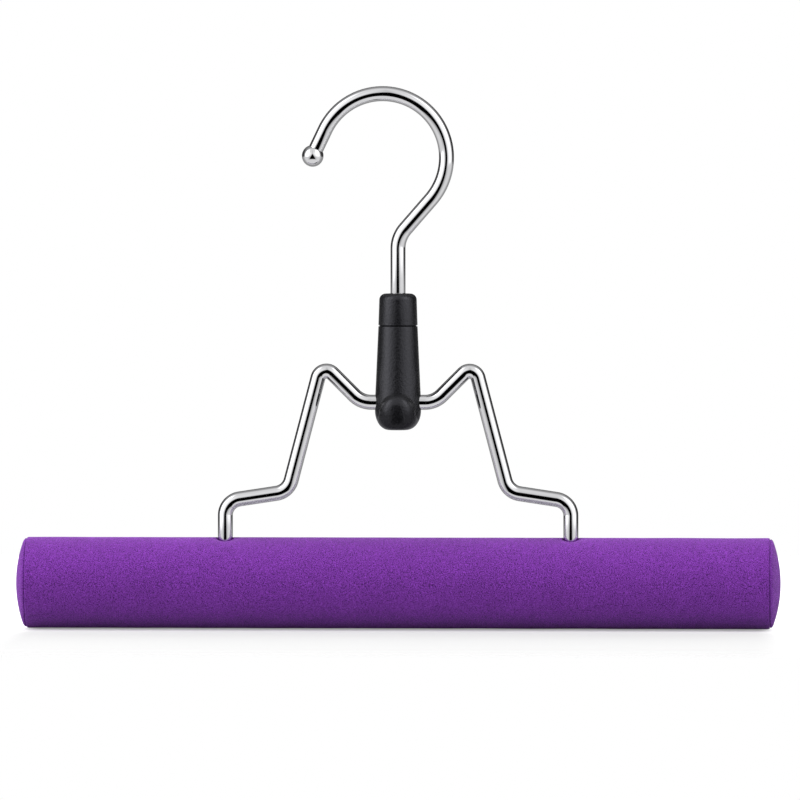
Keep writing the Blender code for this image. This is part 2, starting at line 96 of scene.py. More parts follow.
def add_node(tree, kind, inputs=None, **settings):
    """A new node with its options set and its sockets filled."""
    made = tree.nodes.new(kind)
    for name, value in settings.items():
        setattr(made, name, value)
    set_inputs(tree, made, inputs or {})
    return made


def math_node(tree, operation, *terms):
    """One sum of up to three numbers."""
    made = add_node(tree, "ShaderNodeMath", dict(enumerate(terms)), operation=operation)
    return made.outputs["Value"]


def product(tree, first, second):
    return math_node(tree, "MULTIPLY", first, second)


def larger(tree, first, second):
    return math_node(tree, "MAXIMUM", first, second)


def unsigned(tree, value):
    return math_node(tree, "ABSOLUTE", value)


def ramp(tree, value, start, end, low=0.0, high=1.0):
    """A smooth step: low up to start, high from end on."""
    inputs = {"Value": value, "From Min": start, "From Max": end, "To Min": low, "To Max": high}
    made = add_node(tree, "ShaderNodeMapRange", inputs, interpolation_type="SMOOTHSTEP")
    return made.outputs["Result"]


def split(tree, vector):
    """The X, Y and Z of a place or a direction."""
    return add_node(tree, "ShaderNodeSeparateXYZ", {"Vector": vector}).outputs


# %% Noise, tone and the start of a material
def add_noise(tree, place, clouds_per_metre, detail, roughness=0.5):
    """Soft clouds of about 0 to 1, with finer ones on them."""
    inputs = {"Vector": place, "Scale": clouds_per_metre, "Detail": detail, "Roughness": roughness}
    return add_node(tree, "ShaderNodeTexNoise", inputs).outputs["Fac"]


def scale_color(tree, color, factor):
    """A colour made lighter or darker by a factor that changes over the surface."""
    inputs = {"Vector": color, "Scale": factor}
    return add_node(tree, "ShaderNodeVectorMath", inputs, operation="SCALE").outputs["Vector"]


def start_material(name, color, roughness, metallic=0.0):
    """A material whose plain values sit on the shader's own sockets."""
    material = bpy.data.materials.new(name)
    material.use_nodes = True
    material.diffuse_color = color
    tree = material.node_tree
    shader = tree.nodes["Principled BSDF"]
    plain = {"Base Color": color, "Roughness": roughness, "Metallic": metallic}
    set_inputs(tree, shader, plain)
    place = add_node(tree, "ShaderNodeTexCoord").outputs["Object"]
    print("material:", name)
    return material, tree, shader, place


# %% [markdown]
# ## Effects that several finishes share
# Mould grain, cloth nap and foam all have a fine relief, and nearly every surface is a little
# uneven in tone. Both effects are node groups, built once. They put out only masks, heights and
# colours, and each material gives them its own scale and strength.

# %% Build the shared groups
GRAIN_RANGE = (0.25, 0.75)
DIP_RANGE = (0.5, 0.3)
CLOUD_RANGE = (0.3, 0.7)
FLOAT = "NodeSocketFloat"
VECTOR = "NodeSocketVector"
COLOR = "NodeSocketColor"


def new_group(name, inputs, outputs):
    """An empty shader group with its sockets given as (name, kind)."""
    group = bpy.data.node_groups.new(name, "ShaderNodeTree")
    for direction, sockets in (("INPUT", inputs), ("OUTPUT", outputs)):
        for socket_name, kind in sockets:
            group.interface.new_socket(name=socket_name, in_out=direction, socket_type=kind)
    given = group.nodes.new("NodeGroupInput").outputs
    result = group.nodes.new("NodeGroupOutput")
    print("group:", name)
    return group, given, result


def build_fine_relief():
    """Grains of one size with finer ones on them: a height from 0 to 1 and a mask of the dips."""
    inputs = [("Place", VECTOR), ("Grains per metre", FLOAT)]
    group, given, result = new_group("fine_relief", inputs, [("Height", FLOAT), ("Dips", FLOAT)])
    grains = add_noise(group, given["Place"], given["Grains per metre"], detail=3.0, roughness=0.6)
    height = ramp(group, grains, *GRAIN_RANGE)
    dips = ramp(group, grains, *DIP_RANGE)
    set_inputs(group, result, {"Height": height, "Dips": dips})
    return group


def build_uneven_tone():
    """A colour made a little lighter and darker in soft clouds."""
    inputs = [("Color", COLOR), ("Place", VECTOR), ("Clouds per metre", FLOAT), ("Amount", FLOAT)]
    group, given, result = new_group("uneven_tone", inputs, [("Color", COLOR), ("Clouds", FLOAT)])
    level = add_noise(group, given["Place"], given["Clouds per metre"], detail=4.0, roughness=0.55)
    clouds = ramp(group, level, *CLOUD_RANGE)
    centred = math_node(group, "MULTIPLY_ADD", clouds, 2.0, -1.0)
    factor = math_node(group, "MULTIPLY_ADD", centred, given["Amount"], 1.0)
    color = scale_color(group, given["Color"], factor)
    set_inputs(group, result, {"Color": color, "Clouds": clouds})
    return group


FINE_RELIEF = build_fine_relief()
UNEVEN_TONE = build_uneven_tone()


# %% Place an effect in a material
def add_relief(tree, place, grains_per_metre):
    """The fine relief's Height and Dips."""
    inputs = {"Place": place, "Grains per metre": grains_per_metre}
    return add_node(tree, "ShaderNodeGroup", inputs, node_tree=FINE_RELIEF).outputs


def add_tone(tree, place, color, clouds_per_metre, amount_share):
    """The uneven tone's Color and Clouds; color is a value or another node's output."""
    scale = {"Clouds per metre": clouds_per_metre, "Amount": amount_share}
    inputs = {"Place": place, "Color": color, **scale}
    return add_node(tree, "ShaderNodeGroup", inputs, node_tree=UNEVEN_TONE).outputs


def add_bump(tree, shader, height, depth):
    """Relief of a real depth, on top of any relief that is there already."""
    inputs = {"Height": height, "Distance": depth, "Strength": 1.0}
    links = shader.inputs["Normal"].links
    if links:
        inputs["Normal"] = links[0].from_socket
    made = add_node(tree, "ShaderNodeBump", inputs)
    tree.links.new(made.outputs["Normal"], shader.inputs["Normal"])


# %% [markdown]
# ## Finish: bright chrome
# The wire and the ball are polished and plated, so almost all of their look is reflection. A
# flat roughness looks like computer chrome, because a handled surface carries faint smears. Soft
# clouds therefore move the roughness a little, and a very shallow, wide ripple stands for the
# way that plating follows drawn wire. The black sleeve would also mirror a bright haze from the
# wire right beside it, which the photographed one doesn't show. So to a glossy surface a few
# millimetres away the chrome is dark, and the eye never sees that.

# %% Chrome
FINISHES = {}
CHROME_COLOR = (0.80, 0.80, 0.815, 1.0)
CHROME_MIRRORED = (0.10, 0.10, 0.10, 1.0)
CHROME_BESIDE = 13.0 * MM
CHROME_TOUCHING = 8.0 * MM
SMEARS = (0.2, 1.0, 0.035, 0.085)
RIPPLE_DEPTH = 0.0008 * MM


def in_mirrors(tree, color, mirrored, start, end, most_share):
    """A colour for the eye, and another where glossy things see it from start to end away."""
    path = add_node(tree, "ShaderNodeLightPath").outputs
    reach = ramp(tree, path["Ray Length"], start, end, 0.0, most_share)
    share = product(tree, path["Is Glossy Ray"], reach)
    inputs = {0: share, 6: color, 7: mirrored}
    return add_node(tree, "ShaderNodeMix", inputs, data_type="RGBA").outputs[2]


def make_chrome():
    finish = start_material("chrome", CHROME_COLOR, roughness=0.05, metallic=1.0)
    material, tree, shader, place = finish
    tone = add_tone(tree, place, CHROME_COLOR, clouds_per_metre=260.0, amount_share=0.02)
    nearby = (CHROME_BESIDE, CHROME_TOUCHING)
    shown = in_mirrors(tree, tone["Color"], CHROME_MIRRORED, *nearby, most_share=1.0)
    smears = ramp(tree, tone["Clouds"], *SMEARS)
    set_inputs(tree, shader, {"Base Color": shown, "Roughness": smears})
    ripple = add_noise(tree, place, clouds_per_metre=700.0, detail=1.0)
    add_bump(tree, shader, ripple, RIPPLE_DEPTH)
    return material


FINISHES["chrome"] = make_chrome()

# %% [markdown]
# ## Finish: black moulded plastic
# The collar and the sleeve come from a mould with a fine, even texture. It gives the soft, wide
# highlights of the photographed part. The grain is real relief a few thousandths of a millimetre
# deep, and its dips are a little duller than its crests. Two places get painted shade and are
# darker than the soft studio leaves them. The floor of the groove under the collar is painted black
# as shade in the recess. The foot of the sleeve and every surface that faces down are painted
# darker than the rest. A mask on Metallic does that: a black metal gives back next to nothing.

# %% Where the plastic gets painted shade
GROOVE_INSET = 0.25 * MM
GROOVE_DROP = 0.065 * MM
GROOVE_HALF_HEIGHT = 0.185 * MM
GROOVE_BLUR = 0.06 * MM
DOWNWARD = (0.02, -0.40)
UNDERSIDE_SHADE_SHARE = 0.50
FOOT_FROM_RISE = 8.0 * MM
FOOT_TO_RISE = 5.0 * MM
FLANK_FROM = 1.2 * MM
FLANK_TO = 3.6 * MM
FOOT_SHADE_SHARE = 0.46


def painted_groove_shade(tree, place):
    """Painted shade: 1 on the floor of the groove between collar and sleeve, and 0 elsewhere."""
    apart = split(tree, place)
    level = add_node(tree, "ShaderNodeCombineXYZ", {"X": apart["X"], "Y": apart["Y"]}).outputs[0]
    radius = add_node(tree, "ShaderNodeVectorMath", {0: level}, operation="LENGTH").outputs["Value"]
    floor = COLLAR_HIGH.x - GROOVE_INSET
    deep = ramp(tree, radius, floor, floor - GROOVE_BLUR)
    from_middle = math_node(tree, "SUBTRACT", apart["Z"], COLLAR_LOW.z - GROOVE_DROP)
    away = unsigned(tree, from_middle)
    between = ramp(tree, away, GROOVE_HALF_HEIGHT + GROOVE_BLUR, GROOVE_HALF_HEIGHT)
    return product(tree, deep, between)


def painted_underside_shade(tree):
    """Painted shade where the surface faces down, up to the underside's share, and 0 elsewhere."""
    facing = add_node(tree, "ShaderNodeTexCoord").outputs["Normal"]
    return ramp(tree, split(tree, facing)["Z"], *DOWNWARD, 0.0, UNDERSIDE_SHADE_SHARE)


def painted_foot_shade(tree, place):
    """Painted shade on the foot's two flanks, up to the foot's share, and 0 elsewhere."""
    apart = split(tree, place)
    start = SLEEVE_LOW.z + FOOT_FROM_RISE
    end = SLEEVE_LOW.z + FOOT_TO_RISE
    low = ramp(tree, apart["Z"], start, end, 0.0, FOOT_SHADE_SHARE)
    flank = ramp(tree, unsigned(tree, apart["X"]), FLANK_FROM, FLANK_TO)
    return product(tree, low, flank)


print("groove floor %.2f mm from the stem's axis" % ((COLLAR_HIGH.x - GROOVE_INSET) / MM))

# %% Black plastic
PLASTIC_BLACK = (0.0045, 0.0045, 0.0054, 1.0)
PLASTIC_TINT = (0.90, 0.90, 1.0, 1.0)
GRAIN_GLOSS = (0.0, 1.0, 0.23, 0.34)
GRAIN_DEPTH = 0.005 * MM
MOTTLE_DEPTH = 0.040 * MM


def make_black_plastic():
    finish = start_material("black_plastic", PLASTIC_BLACK, roughness=0.28)
    material, tree, shader, place = finish
    tone = add_tone(tree, place, PLASTIC_BLACK, clouds_per_metre=1500.0, amount_share=0.25)
    grain = add_relief(tree, place, grains_per_metre=4200.0)
    # Painted shade: Metallic darkens the foot's flanks, the undersides and the groove floor.
    foot = larger(tree, painted_foot_shade(tree, place), painted_underside_shade(tree))
    dark = larger(tree, painted_groove_shade(tree, place), foot)
    gloss = ramp(tree, grain["Dips"], *GRAIN_GLOSS)
    set_inputs(tree, shader, {"Base Color": tone["Color"], "Metallic": dark, "Roughness": gloss})
    skin = {"Specular Tint": PLASTIC_TINT, "Sheen Weight": 0.03, "Sheen Roughness": 0.4}
    set_inputs(tree, shader, skin)
    add_bump(tree, shader, grain["Height"], GRAIN_DEPTH)
    add_bump(tree, shader, tone["Clouds"], MOTTLE_DEPTH)
    return material


FINISHES["black_plastic"] = make_black_plastic()

# %% [markdown]
# ## Finish: purple napped cloth
# The cover is a tight cloth with a short, soft, even nap, like a fine suede. Close up it is a field
# of tiny tufts, so the colour is broken into specks about a quarter of a millimetre wide. The
# specks are partly tone that differs at random and partly painted shade: the same clouds that raise
# the tufts make their tips lighter and their roots darker. Wide, faint clouds show where the nap
# lies one way or the other. Sheen lightens it where the eye skims along the fibres. Chrome that
# stands a few millimetres over the cloth would be edged with purple, and in the photograph its
# edges are grey, so the cloth is grey to a mirror that near.

# %% Purple cloth
CLOTH_PURPLE = (0.165, 0.0305, 0.307, 1.0)
CLOTH_MIRRORED = (0.33, 0.33, 0.35, 1.0)
CLOTH_SHEEN = (0.62, 0.32, 0.85, 1.0)
MIRROR_NEAR = 1.0 * MM
MIRROR_FAR = 4.0 * MM
MIRROR_SHARE = 0.92
TUFTS_PER_METRE = 4400.0
TUFT_DEPTH = 0.075 * MM
FIBRE_DEPTH = 0.03 * MM


def make_purple_cloth():
    finish = start_material("purple_cloth", CLOTH_PURPLE, roughness=0.92)
    material, tree, shader, place = finish
    lay = add_tone(tree, place, CLOTH_PURPLE, clouds_per_metre=95.0, amount_share=0.035)
    # Painted shade on random tone: the specks are darker where the tufts' bump sinks.
    tufts_and_root_shade = add_tone(tree, place, lay["Color"], TUFTS_PER_METRE, amount_share=0.95)
    nearby = (MIRROR_NEAR, MIRROR_FAR)
    shown = in_mirrors(tree, tufts_and_root_shade["Color"], CLOTH_MIRRORED, *nearby, most_share=MIRROR_SHARE)
    fibres = add_relief(tree, place, TUFTS_PER_METRE)
    nap = {"Sheen Weight": 0.36, "Sheen Roughness": 0.45, "Sheen Tint": CLOTH_SHEEN}
    set_inputs(tree, shader, {"Base Color": shown, "Specular IOR Level": 0.15, **nap})
    add_bump(tree, shader, tufts_and_root_shade["Clouds"], TUFT_DEPTH)
    add_bump(tree, shader, fibres["Height"], FIBRE_DEPTH)
    return material


FINISHES["purple_cloth"] = make_purple_cloth()

# %% [markdown]
# ## Finishes of what is hidden inside
# Open the bar and there is cream foam round a softwood dowel. Open the sleeve and there is a plated
# steel ring, and under the collar a white washer. They get the same care, because someone may take
# the hanger apart. The foam is a field of cells whose pores are darkened with painted shade, where
# the relief sinks. The wood's grain runs along the dowel, and its growth rings bend into long, wavy
# bands.

# %% Foam and wood
FOAM_CREAM = (0.62, 0.60, 0.52, 1.0)
PORES_PER_METRE = 1400.0
PORE_SHADE = (0.05, 0.45, 0.62, 1.0)
PORE_RANGE = (0.15, 0.55)
PORE_DEPTH = 0.20 * MM
WOOD_BROWN = (0.50, 0.33, 0.17, 1.0)
ALONG_DOWEL = (0.06, 1.0, 1.0)
GROWTH_RINGS_PER_METRE = 260.0
LATE_WOOD = (0.2, 0.9, 1.0, 0.72)
WOOD_DEPTH = 0.02 * MM


def make_foam():
    material, tree, shader, place = start_material("foam", FOAM_CREAM, roughness=0.95)
    cells = add_node(tree, "ShaderNodeTexVoronoi", {"Vector": place, "Scale": PORES_PER_METRE})
    from_pore = cells.outputs["Distance"]
    tone = add_tone(tree, place, FOAM_CREAM, clouds_per_metre=300.0, amount_share=0.10)
    # Painted shade: the pores are darker where the relief sinks into them.
    color = scale_color(tree, tone["Color"], ramp(tree, from_pore, *PORE_SHADE))
    set_inputs(tree, shader, {"Base Color": color, "Sheen Weight": 0.1})
    add_bump(tree, shader, ramp(tree, from_pore, *PORE_RANGE), PORE_DEPTH)
    return material


def make_wood():
    material, tree, shader, place = start_material("wood", WOOD_BROWN, roughness=0.6)
    stretched = add_node(tree, "ShaderNodeMapping", {"Vector": place, "Scale": ALONG_DOWEL})
    along = stretched.outputs["Vector"]
    waviness = {"Distortion": 2.5, "Detail": 3.0}
    bands = {"Vector": along, "Scale": GROWTH_RINGS_PER_METRE, **waviness}
    rings = add_node(tree, "ShaderNodeTexWave", bands, wave_type="RINGS", rings_direction="X")
    tone = add_tone(tree, along, WOOD_BROWN, clouds_per_metre=2600.0, amount_share=0.12)
    color = scale_color(tree, tone["Color"], ramp(tree, rings.outputs["Fac"], *LATE_WOOD))
    set_inputs(tree, shader, {"Base Color": color})
    add_bump(tree, shader, tone["Clouds"], WOOD_DEPTH)
    return material


FINISHES["foam"] = make_foam()
FINISHES["wood"] = make_wood()

# %% Steel and white plastic
STEEL_GREY = (0.45, 0.45, 0.46, 1.0)
STEEL_GLOSS = (0.0, 1.0, 0.28, 0.44)
WASHER_WHITE = (0.75, 0.74, 0.70, 1.0)
WASHER_GRAIN_DEPTH = 0.006 * MM


def make_steel():
    finish = start_material("steel", STEEL_GREY, roughness=0.35, metallic=1.0)
    material, tree, shader, place = finish
    tone = add_tone(tree, place, STEEL_GREY, clouds_per_metre=1200.0, amount_share=0.10)
    gloss = ramp(tree, tone["Clouds"], *STEEL_GLOSS)
    set_inputs(tree, shader, {"Base Color": tone["Color"], "Roughness": gloss})
    return material


def make_white_plastic():
    finish = start_material("white_plastic", WASHER_WHITE, roughness=0.4)
    material, tree, shader, place = finish
    tone = add_tone(tree, place, WASHER_WHITE, clouds_per_metre=500.0, amount_share=0.03)
    set_inputs(tree, shader, {"Base Color": tone["Color"]})
    grain = add_relief(tree, place, grains_per_metre=5000.0)
    add_bump(tree, shader, grain["Height"], WASHER_GRAIN_DEPTH)
    return material


FINISHES["steel"] = make_steel()
FINISHES["white_plastic"] = make_white_plastic()
print("finishes:", len(FINISHES))

# %% [markdown]
# ## Finishing a piece
# Every new piece ends the same way. Its seams are welded and its faces turned outwards, it is
# shaded smooth with only its true edges kept sharp, and it is told which body it rides on, which
# solids it stands for and which finish it takes. Cloth and foam of the bar ride on the frame.

# %% Piece helpers
SHARP_ANGLE = math.radians(40)


def only(kind, geometry):
    """The vertices, or the edges, among a bmesh operator's results."""
    return [item for item in geometry if isinstance(item, kind)]


def ring_edges(verts):
    """The edges that join these vertices to each other."""
    chosen = set(verts)
    edges = {edge for vert in verts for edge in vert.link_edges}
    return [edge for edge in edges if all(end in chosen for end in edge.verts)]


def open_edges(shape):
    """The edges that have a face on one side only."""
    return [edge for edge in shape.edges if edge.is_boundary]


def round_edges(shape, edges, size, segments):
    """Bevel some edges by a real size."""
    bmesh.ops.bevel(
        shape, geom=edges, offset=size, offset_type="OFFSET", segments=segments, profile=0.5,
        affect="EDGES", material=-1, clamp_overlap=True,
    )


def keep_half(shape, place, outward):
    """Cut away what lies past a plane, and leave the cut open."""
    whole = shape.verts[:] + shape.edges[:] + shape.faces[:]
    bmesh.ops.bisect_plane(
        shape, geom=whole, plane_co=place, plane_no=outward, clear_outer=True
    )
    return open_edges(shape)


def weld(shape):
    """Close the seams and turn every face outwards."""
    bmesh.ops.remove_doubles(shape, verts=shape.verts, dist=WELD)
    bmesh.ops.recalc_face_normals(shape, faces=shape.faces)


# %% From a shape to a finished piece
def smooth(mesh):
    """Shade a mesh smooth, and keep its true edges sharp."""
    mesh.shade_smooth()
    mesh.set_sharp_from_angle(angle=SHARP_ANGLE)


def add_object(name, mesh):
    """A new object at the origin, with its place in its mesh."""
    piece = bpy.data.objects.new(name, mesh)
    bpy.context.scene.collection.objects.link(piece)
    return piece


def to_object(name, shape):
    """Turn a finished shape into an object at the origin."""
    mesh = bpy.data.meshes.new(name)
    shape.to_mesh(mesh)
    shape.free()
    smooth(mesh)
    return add_object(name, mesh)


def dress(piece, slot, body, *solids):
    """Give a piece its finish, its body and the solids that it stands for."""
    piece.data.materials.clear()
    piece.data.materials.append(FINISHES[slot])
    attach(piece, body)
    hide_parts(*solids)
    print("%s: %d faces" % (piece.name, len(piece.data.polygons)))


def dress_soft(piece, slot, solid):
    """The same for cloth and foam of the bar, which ride on the frame."""
    dress(piece, slot, "frame", solid)


# %% [markdown]
# ## Wires, bent as on a bench
# Both wires are plain round stock that a machine feeds straight and bends round dies. The tube
# could be a curve with a bevel, but chrome shows every flaw in a tube's sides. So this bender
# works like the machine: a ring of edges is extruded for a straight length and spun for a bend,
# which keeps the section truly round through every corner.

# %% The wire bender
WIRE_RADIUS = 2.5 * MM
WIRE_SIDES = 64
CUT_END_CHAMFER = 0.3 * MM
DEGREES_PER_RING = 3.0


def heading_step(angle):
    """A step of one in a direction of the hanger's plane, as (x, height)."""
    return Vector((math.cos(angle), math.sin(angle)))


class WireBender:
    """Feeds and bends one round wire in the plane of the hanger."""

    def __init__(self, start, heading):
        """Start is (x, height); heading is an angle from +X towards up."""
        self.shape = bmesh.new()
        self.spot = Vector(start)
        self.heading = heading
        lean = Matrix.Rotation(math.pi / 2 - heading, 4, "Y")
        place = Matrix.Translation((self.spot.x, 0, self.spot.y)) @ lean
        made = bmesh.ops.create_circle(
            self.shape, segments=WIRE_SIDES, radius=WIRE_RADIUS, matrix=place
        )
        self.ring = ring_edges(made["verts"])
        self.first_ring = list(self.ring)

    def feed(self, length):
        """Push the wire straight on."""
        step = length * heading_step(self.heading)
        made = bmesh.ops.extrude_edge_only(self.shape, edges=self.ring)
        verts = only(bmesh.types.BMVert, made["geom"])
        bmesh.ops.translate(self.shape, verts=verts, vec=(step.x, 0, step.y))
        self.ring = ring_edges(verts)
        self.spot += step

    def bend(self, radius, turn):
        """Bend the wire's centre line round a die: to the left for a turn above zero."""
        side = math.copysign(math.pi / 2, turn)
        centre = self.spot + radius * heading_step(self.heading + side)
        steps = max(2, math.ceil(abs(math.degrees(turn)) / DEGREES_PER_RING))
        verts = list({vert for edge in self.ring for vert in edge.verts})
        made = bmesh.ops.spin(
            self.shape, geom=verts + self.ring, cent=(centre.x, 0, centre.y), axis=(0, 1, 0),
            angle=-turn, steps=steps, use_merge=False, use_duplicate=False,
        )
        self.ring = only(bmesh.types.BMEdge, made["geom_last"])
        self.heading += turn
        self.spot = centre - radius * heading_step(self.heading + side)

    def cut(self, name):
        """Close both ends, chamfer the cuts and return the finished wire."""
        for ring in (self.first_ring, self.ring):
            bmesh.ops.contextual_create(self.shape, geom=ring)
            round_edges(self.shape, ring, CUT_END_CHAMFER, segments=2)
        weld(self.shape)
        return to_object(name, self.shape)


# %% [markdown]
# ## The hook
# From the ball the wire runs straight for a moment, goes round the crook, slants back to the
# middle and turns down into the stem. The stem ends inside the sleeve, in the retainer ring.

# %% Bend the hook
CROOK_RADIUS = 21.2 * MM
CROOK_REACH = 5.1 * MM
CROOK_TIP_ANGLE = math.radians(154.5)
CROOK_HEEL_ANGLE = math.radians(-41)
TIP_LENGTH = 9.5 * MM
STEM_BEND_RADIUS = 10.0 * MM
HOOK_LOW, HOOK_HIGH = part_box("hook_wire")
CROOK_CENTRE = Vector((-CROOK_REACH, HOOK_HIGH.z - CROOK_RADIUS - WIRE_RADIUS))


def ball_centre():
    """From the crook's tip straight back by the tip's length."""
    tip = CROOK_CENTRE + CROOK_RADIUS * heading_step(CROOK_TIP_ANGLE)
    return tip + TIP_LENGTH * heading_step(CROOK_TIP_ANGLE + math.pi / 2)


def bend_hook():
    """Ball end, crook, slant, stem."""
    bender = WireBender(ball_centre(), CROOK_TIP_ANGLE - math.pi / 2)
    bender.feed(TIP_LENGTH)
    bender.bend(CROOK_RADIUS, CROOK_HEEL_ANGLE - CROOK_TIP_ANGLE)
    stem_turn = -math.pi / 2 - bender.heading
    tangent = STEM_BEND_RADIUS * math.tan(stem_turn / 2)
    slant = bender.spot.x / -math.cos(bender.heading)
    bender.feed(slant - tangent)
    bender.bend(STEM_BEND_RADIUS, stem_turn)
    bender.feed(bender.spot.y - HOOK_LOW.z)
    print("stem at x = %.4f mm" % (bender.spot.x / MM))
    dress(bender.cut("bent_hook"), "chrome", "hook", "hook_wire")


bend_hook()

# %% [markdown]
# ## The ball on its end
# The ball is pressed on to the wire, so there is no weld bead, only a fine rim where the wire
# goes in. A sphere is cut where its section is as wide as the wire, and the cut ring is pushed
# inwards to make the bore.

# %% Make the ball
BALL_RADIUS = 3.6 * MM
BALL_BORE_GAP = 0.03 * MM
BALL_RIM_ROUND = 0.12 * MM
SPHERE_SEGMENTS = 96
SPHERE_RINGS = 64


def make_ball():
    shape = bmesh.new()
    bmesh.ops.create_uvsphere(
        shape, u_segments=SPHERE_SEGMENTS, v_segments=SPHERE_RINGS, radius=BALL_RADIUS
    )
    bore = WIRE_RADIUS + BALL_BORE_GAP
    mouth_height = math.sqrt(BALL_RADIUS**2 - bore**2)
    mouth = keep_half(shape, (0, 0, mouth_height), (0, 0, 1))
    made = bmesh.ops.extrude_edge_only(shape, edges=mouth)
    floor = only(bmesh.types.BMVert, made["geom"])
    bmesh.ops.translate(shape, verts=floor, vec=(0, 0, -mouth_height - CUT_END_CHAMFER))
    bmesh.ops.contextual_create(shape, geom=ring_edges(floor))
    round_edges(shape, mouth, BALL_RIM_ROUND, segments=3)
    lean = Matrix.Rotation(math.pi - CROOK_TIP_ANGLE, 4, "Y")
    centre = ball_centre()
    place = Matrix.Translation((centre.x, 0, centre.y)) @ lean
    bmesh.ops.transform(shape, matrix=place, verts=shape.verts)
    weld(shape)
    dress(to_object("ball", shape), "chrome", "hook", "ball_tip")


make_ball()

# %% [markdown]
# ## Outlines with round corners
# Everything turned, moulded or sewn round a centre starts as an outline. Each corner of it is
# written as a place and a rounding, and the helper below puts an arc there. The outline is then
# spun about its centre.

# %% Outline helpers
ARC_STEP = math.radians(12)


def arc_points(centre, radius, start, end):
    """Points of an arc from one angle to another, ends included."""
    count = max(2, math.ceil(abs(end - start) / ARC_STEP))
    angles = [start + (end - start) * index / count for index in range(count + 1)]
    return [centre + radius * heading_step(angle) for angle in angles]


def rounded_corner(before, corner, after, rounding):
    """The arc that takes the place of one corner of an outline."""
    inward = (before - corner).normalized()
    outward = (after - corner).normalized()
    half_opening = inward.angle(outward) / 2
    centre = corner + (inward + outward).normalized() * rounding / math.sin(half_opening)
    tangent = rounding / math.tan(half_opening)
    first = corner + inward * tangent - centre
    last = corner + outward * tangent - centre
    start = math.atan2(first.y, first.x)
    turn = math.pi - 2 * half_opening
    if first.x * last.y - first.y * last.x < 0:
        turn = -turn
    return arc_points(centre, rounding, start, start + turn)


def rounded_outline(corners, closed=True):
    """Points of an outline given as (radius, height, rounding) corners."""
    spots = [Vector((radius, height)) for radius, height, _ in corners]
    points = []
    for index, (_, _, rounding) in enumerate(corners):
        at_end = not closed and index in (0, len(corners) - 1)
        if rounding == 0 or at_end:
            points.append(spots[index])
            continue
        after = spots[(index + 1) % len(spots)]
        points.extend(rounded_corner(spots[index - 1], spots[index], after, rounding))
    return points


# %% Spinning helper
ABOUT_STEM = Vector((0, 0, 1))
ABOUT_BAR = Vector((1, 0, 0))


def spin_outline(points, closed, axis, steps):
    """Turn an outline of (radius, distance along the axis) all the way round."""
    shape = bmesh.new()
    verts = []
    for radius, along in points:
        spot = (along, 0, radius) if axis is ABOUT_BAR else (radius, 0, along)
        verts.append(shape.verts.new(spot))
    pairs = list(zip(verts, verts[1:]))
    if closed:
        pairs.append((verts[-1], verts[0]))
    edges = [shape.edges.new(pair) for pair in pairs]
    bmesh.ops.spin(
        shape, geom=verts + edges, cent=(0, 0, 0), axis=axis, angle=2 * math.pi, steps=steps,
        use_merge=True, use_duplicate=False,
    )
    weld(shape)
    return shape


# %% [markdown]
# ## The collar
# A short moulded cap, pressed on the stem above the sleeve. Its top edge has a generous round
# and its bore a small countersink, so the wire seems to sink into it. Below it is hollow for the
# washer.

# %% Turn the collar
COLLAR_TAPER = 0.35 * MM
COLLAR_TOP_ROUND = 2.1 * MM
COLLAR_RIM_ROUND = 0.35 * MM
COLLAR_FOOT_ROUND = 0.10 * MM
COLLAR_FOOT_LIFT = 0.12 * MM
COLLAR_BORE_GAP = 0.04 * MM
COLLAR_POCKET_WALL = 1.5 * MM
COLLAR_POCKET_DEPTH = 1.2 * MM
TURNED_STEPS = 128


def make_collar():
    foot = COLLAR_HIGH.x
    bore = WIRE_RADIUS + COLLAR_BORE_GAP
    pocket = foot - COLLAR_POCKET_WALL
    low = COLLAR_LOW.z + COLLAR_FOOT_LIFT
    pocket_top = COLLAR_LOW.z + COLLAR_POCKET_DEPTH
    corners = [
        (bore, COLLAR_HIGH.z, COLLAR_RIM_ROUND),
        (foot - COLLAR_TAPER, COLLAR_HIGH.z, COLLAR_TOP_ROUND),
        (foot, low, COLLAR_FOOT_ROUND),
        (pocket, low, COLLAR_FOOT_ROUND),
        (pocket, pocket_top, COLLAR_FOOT_ROUND),
        (bore, pocket_top, 0),
    ]
    shape = spin_outline(rounded_outline(corners), True, ABOUT_STEM, TURNED_STEPS)
    dress(to_object("collar", shape), "black_plastic", "hook", "swivel_collar")


make_collar()

# %% [markdown]
# ## The sleeve
# The sleeve is a tapered plug with a rounded foot, parted down the middle so that it can close
# over the wires. One half is turned and parted first. Its shoulder comes up to a thin groove
# under the collar, and a small lip inside the groove keeps the washer out of sight.

# %% Outline of the sleeve
SPIGOT_INSET = 0.38 * MM
SPIGOT_HEIGHT = 0.4 * MM
SPIGOT_RISE = 0.21 * MM
SPIGOT_LIP_INSET = 1.6 * MM
SPIGOT_LIP_RISE = 0.34 * MM
SHOULDER_LIFT = 0.45 * MM
SHOULDER_ROUND = 0.14 * MM
FLANK_ROUND = 60.0 * MM
SLEEVE_TOP_RADIUS = COLLAR_HIGH.x
SLEEVE_FULL_RADIUS = SLEEVE_HIGH.x
SLEEVE_FOOT_RADIUS = 3.0 * MM
SLEEVE_FOOT_ROUND = 6.3 * MM
SLEEVE_FOOT_SPREAD = SLEEVE_FULL_RADIUS - SLEEVE_FOOT_RADIUS
SLEEVE_SHOULDER = SLEEVE_HIGH.z - SPIGOT_HEIGHT + SHOULDER_LIFT
FOOT_STEPS = 24


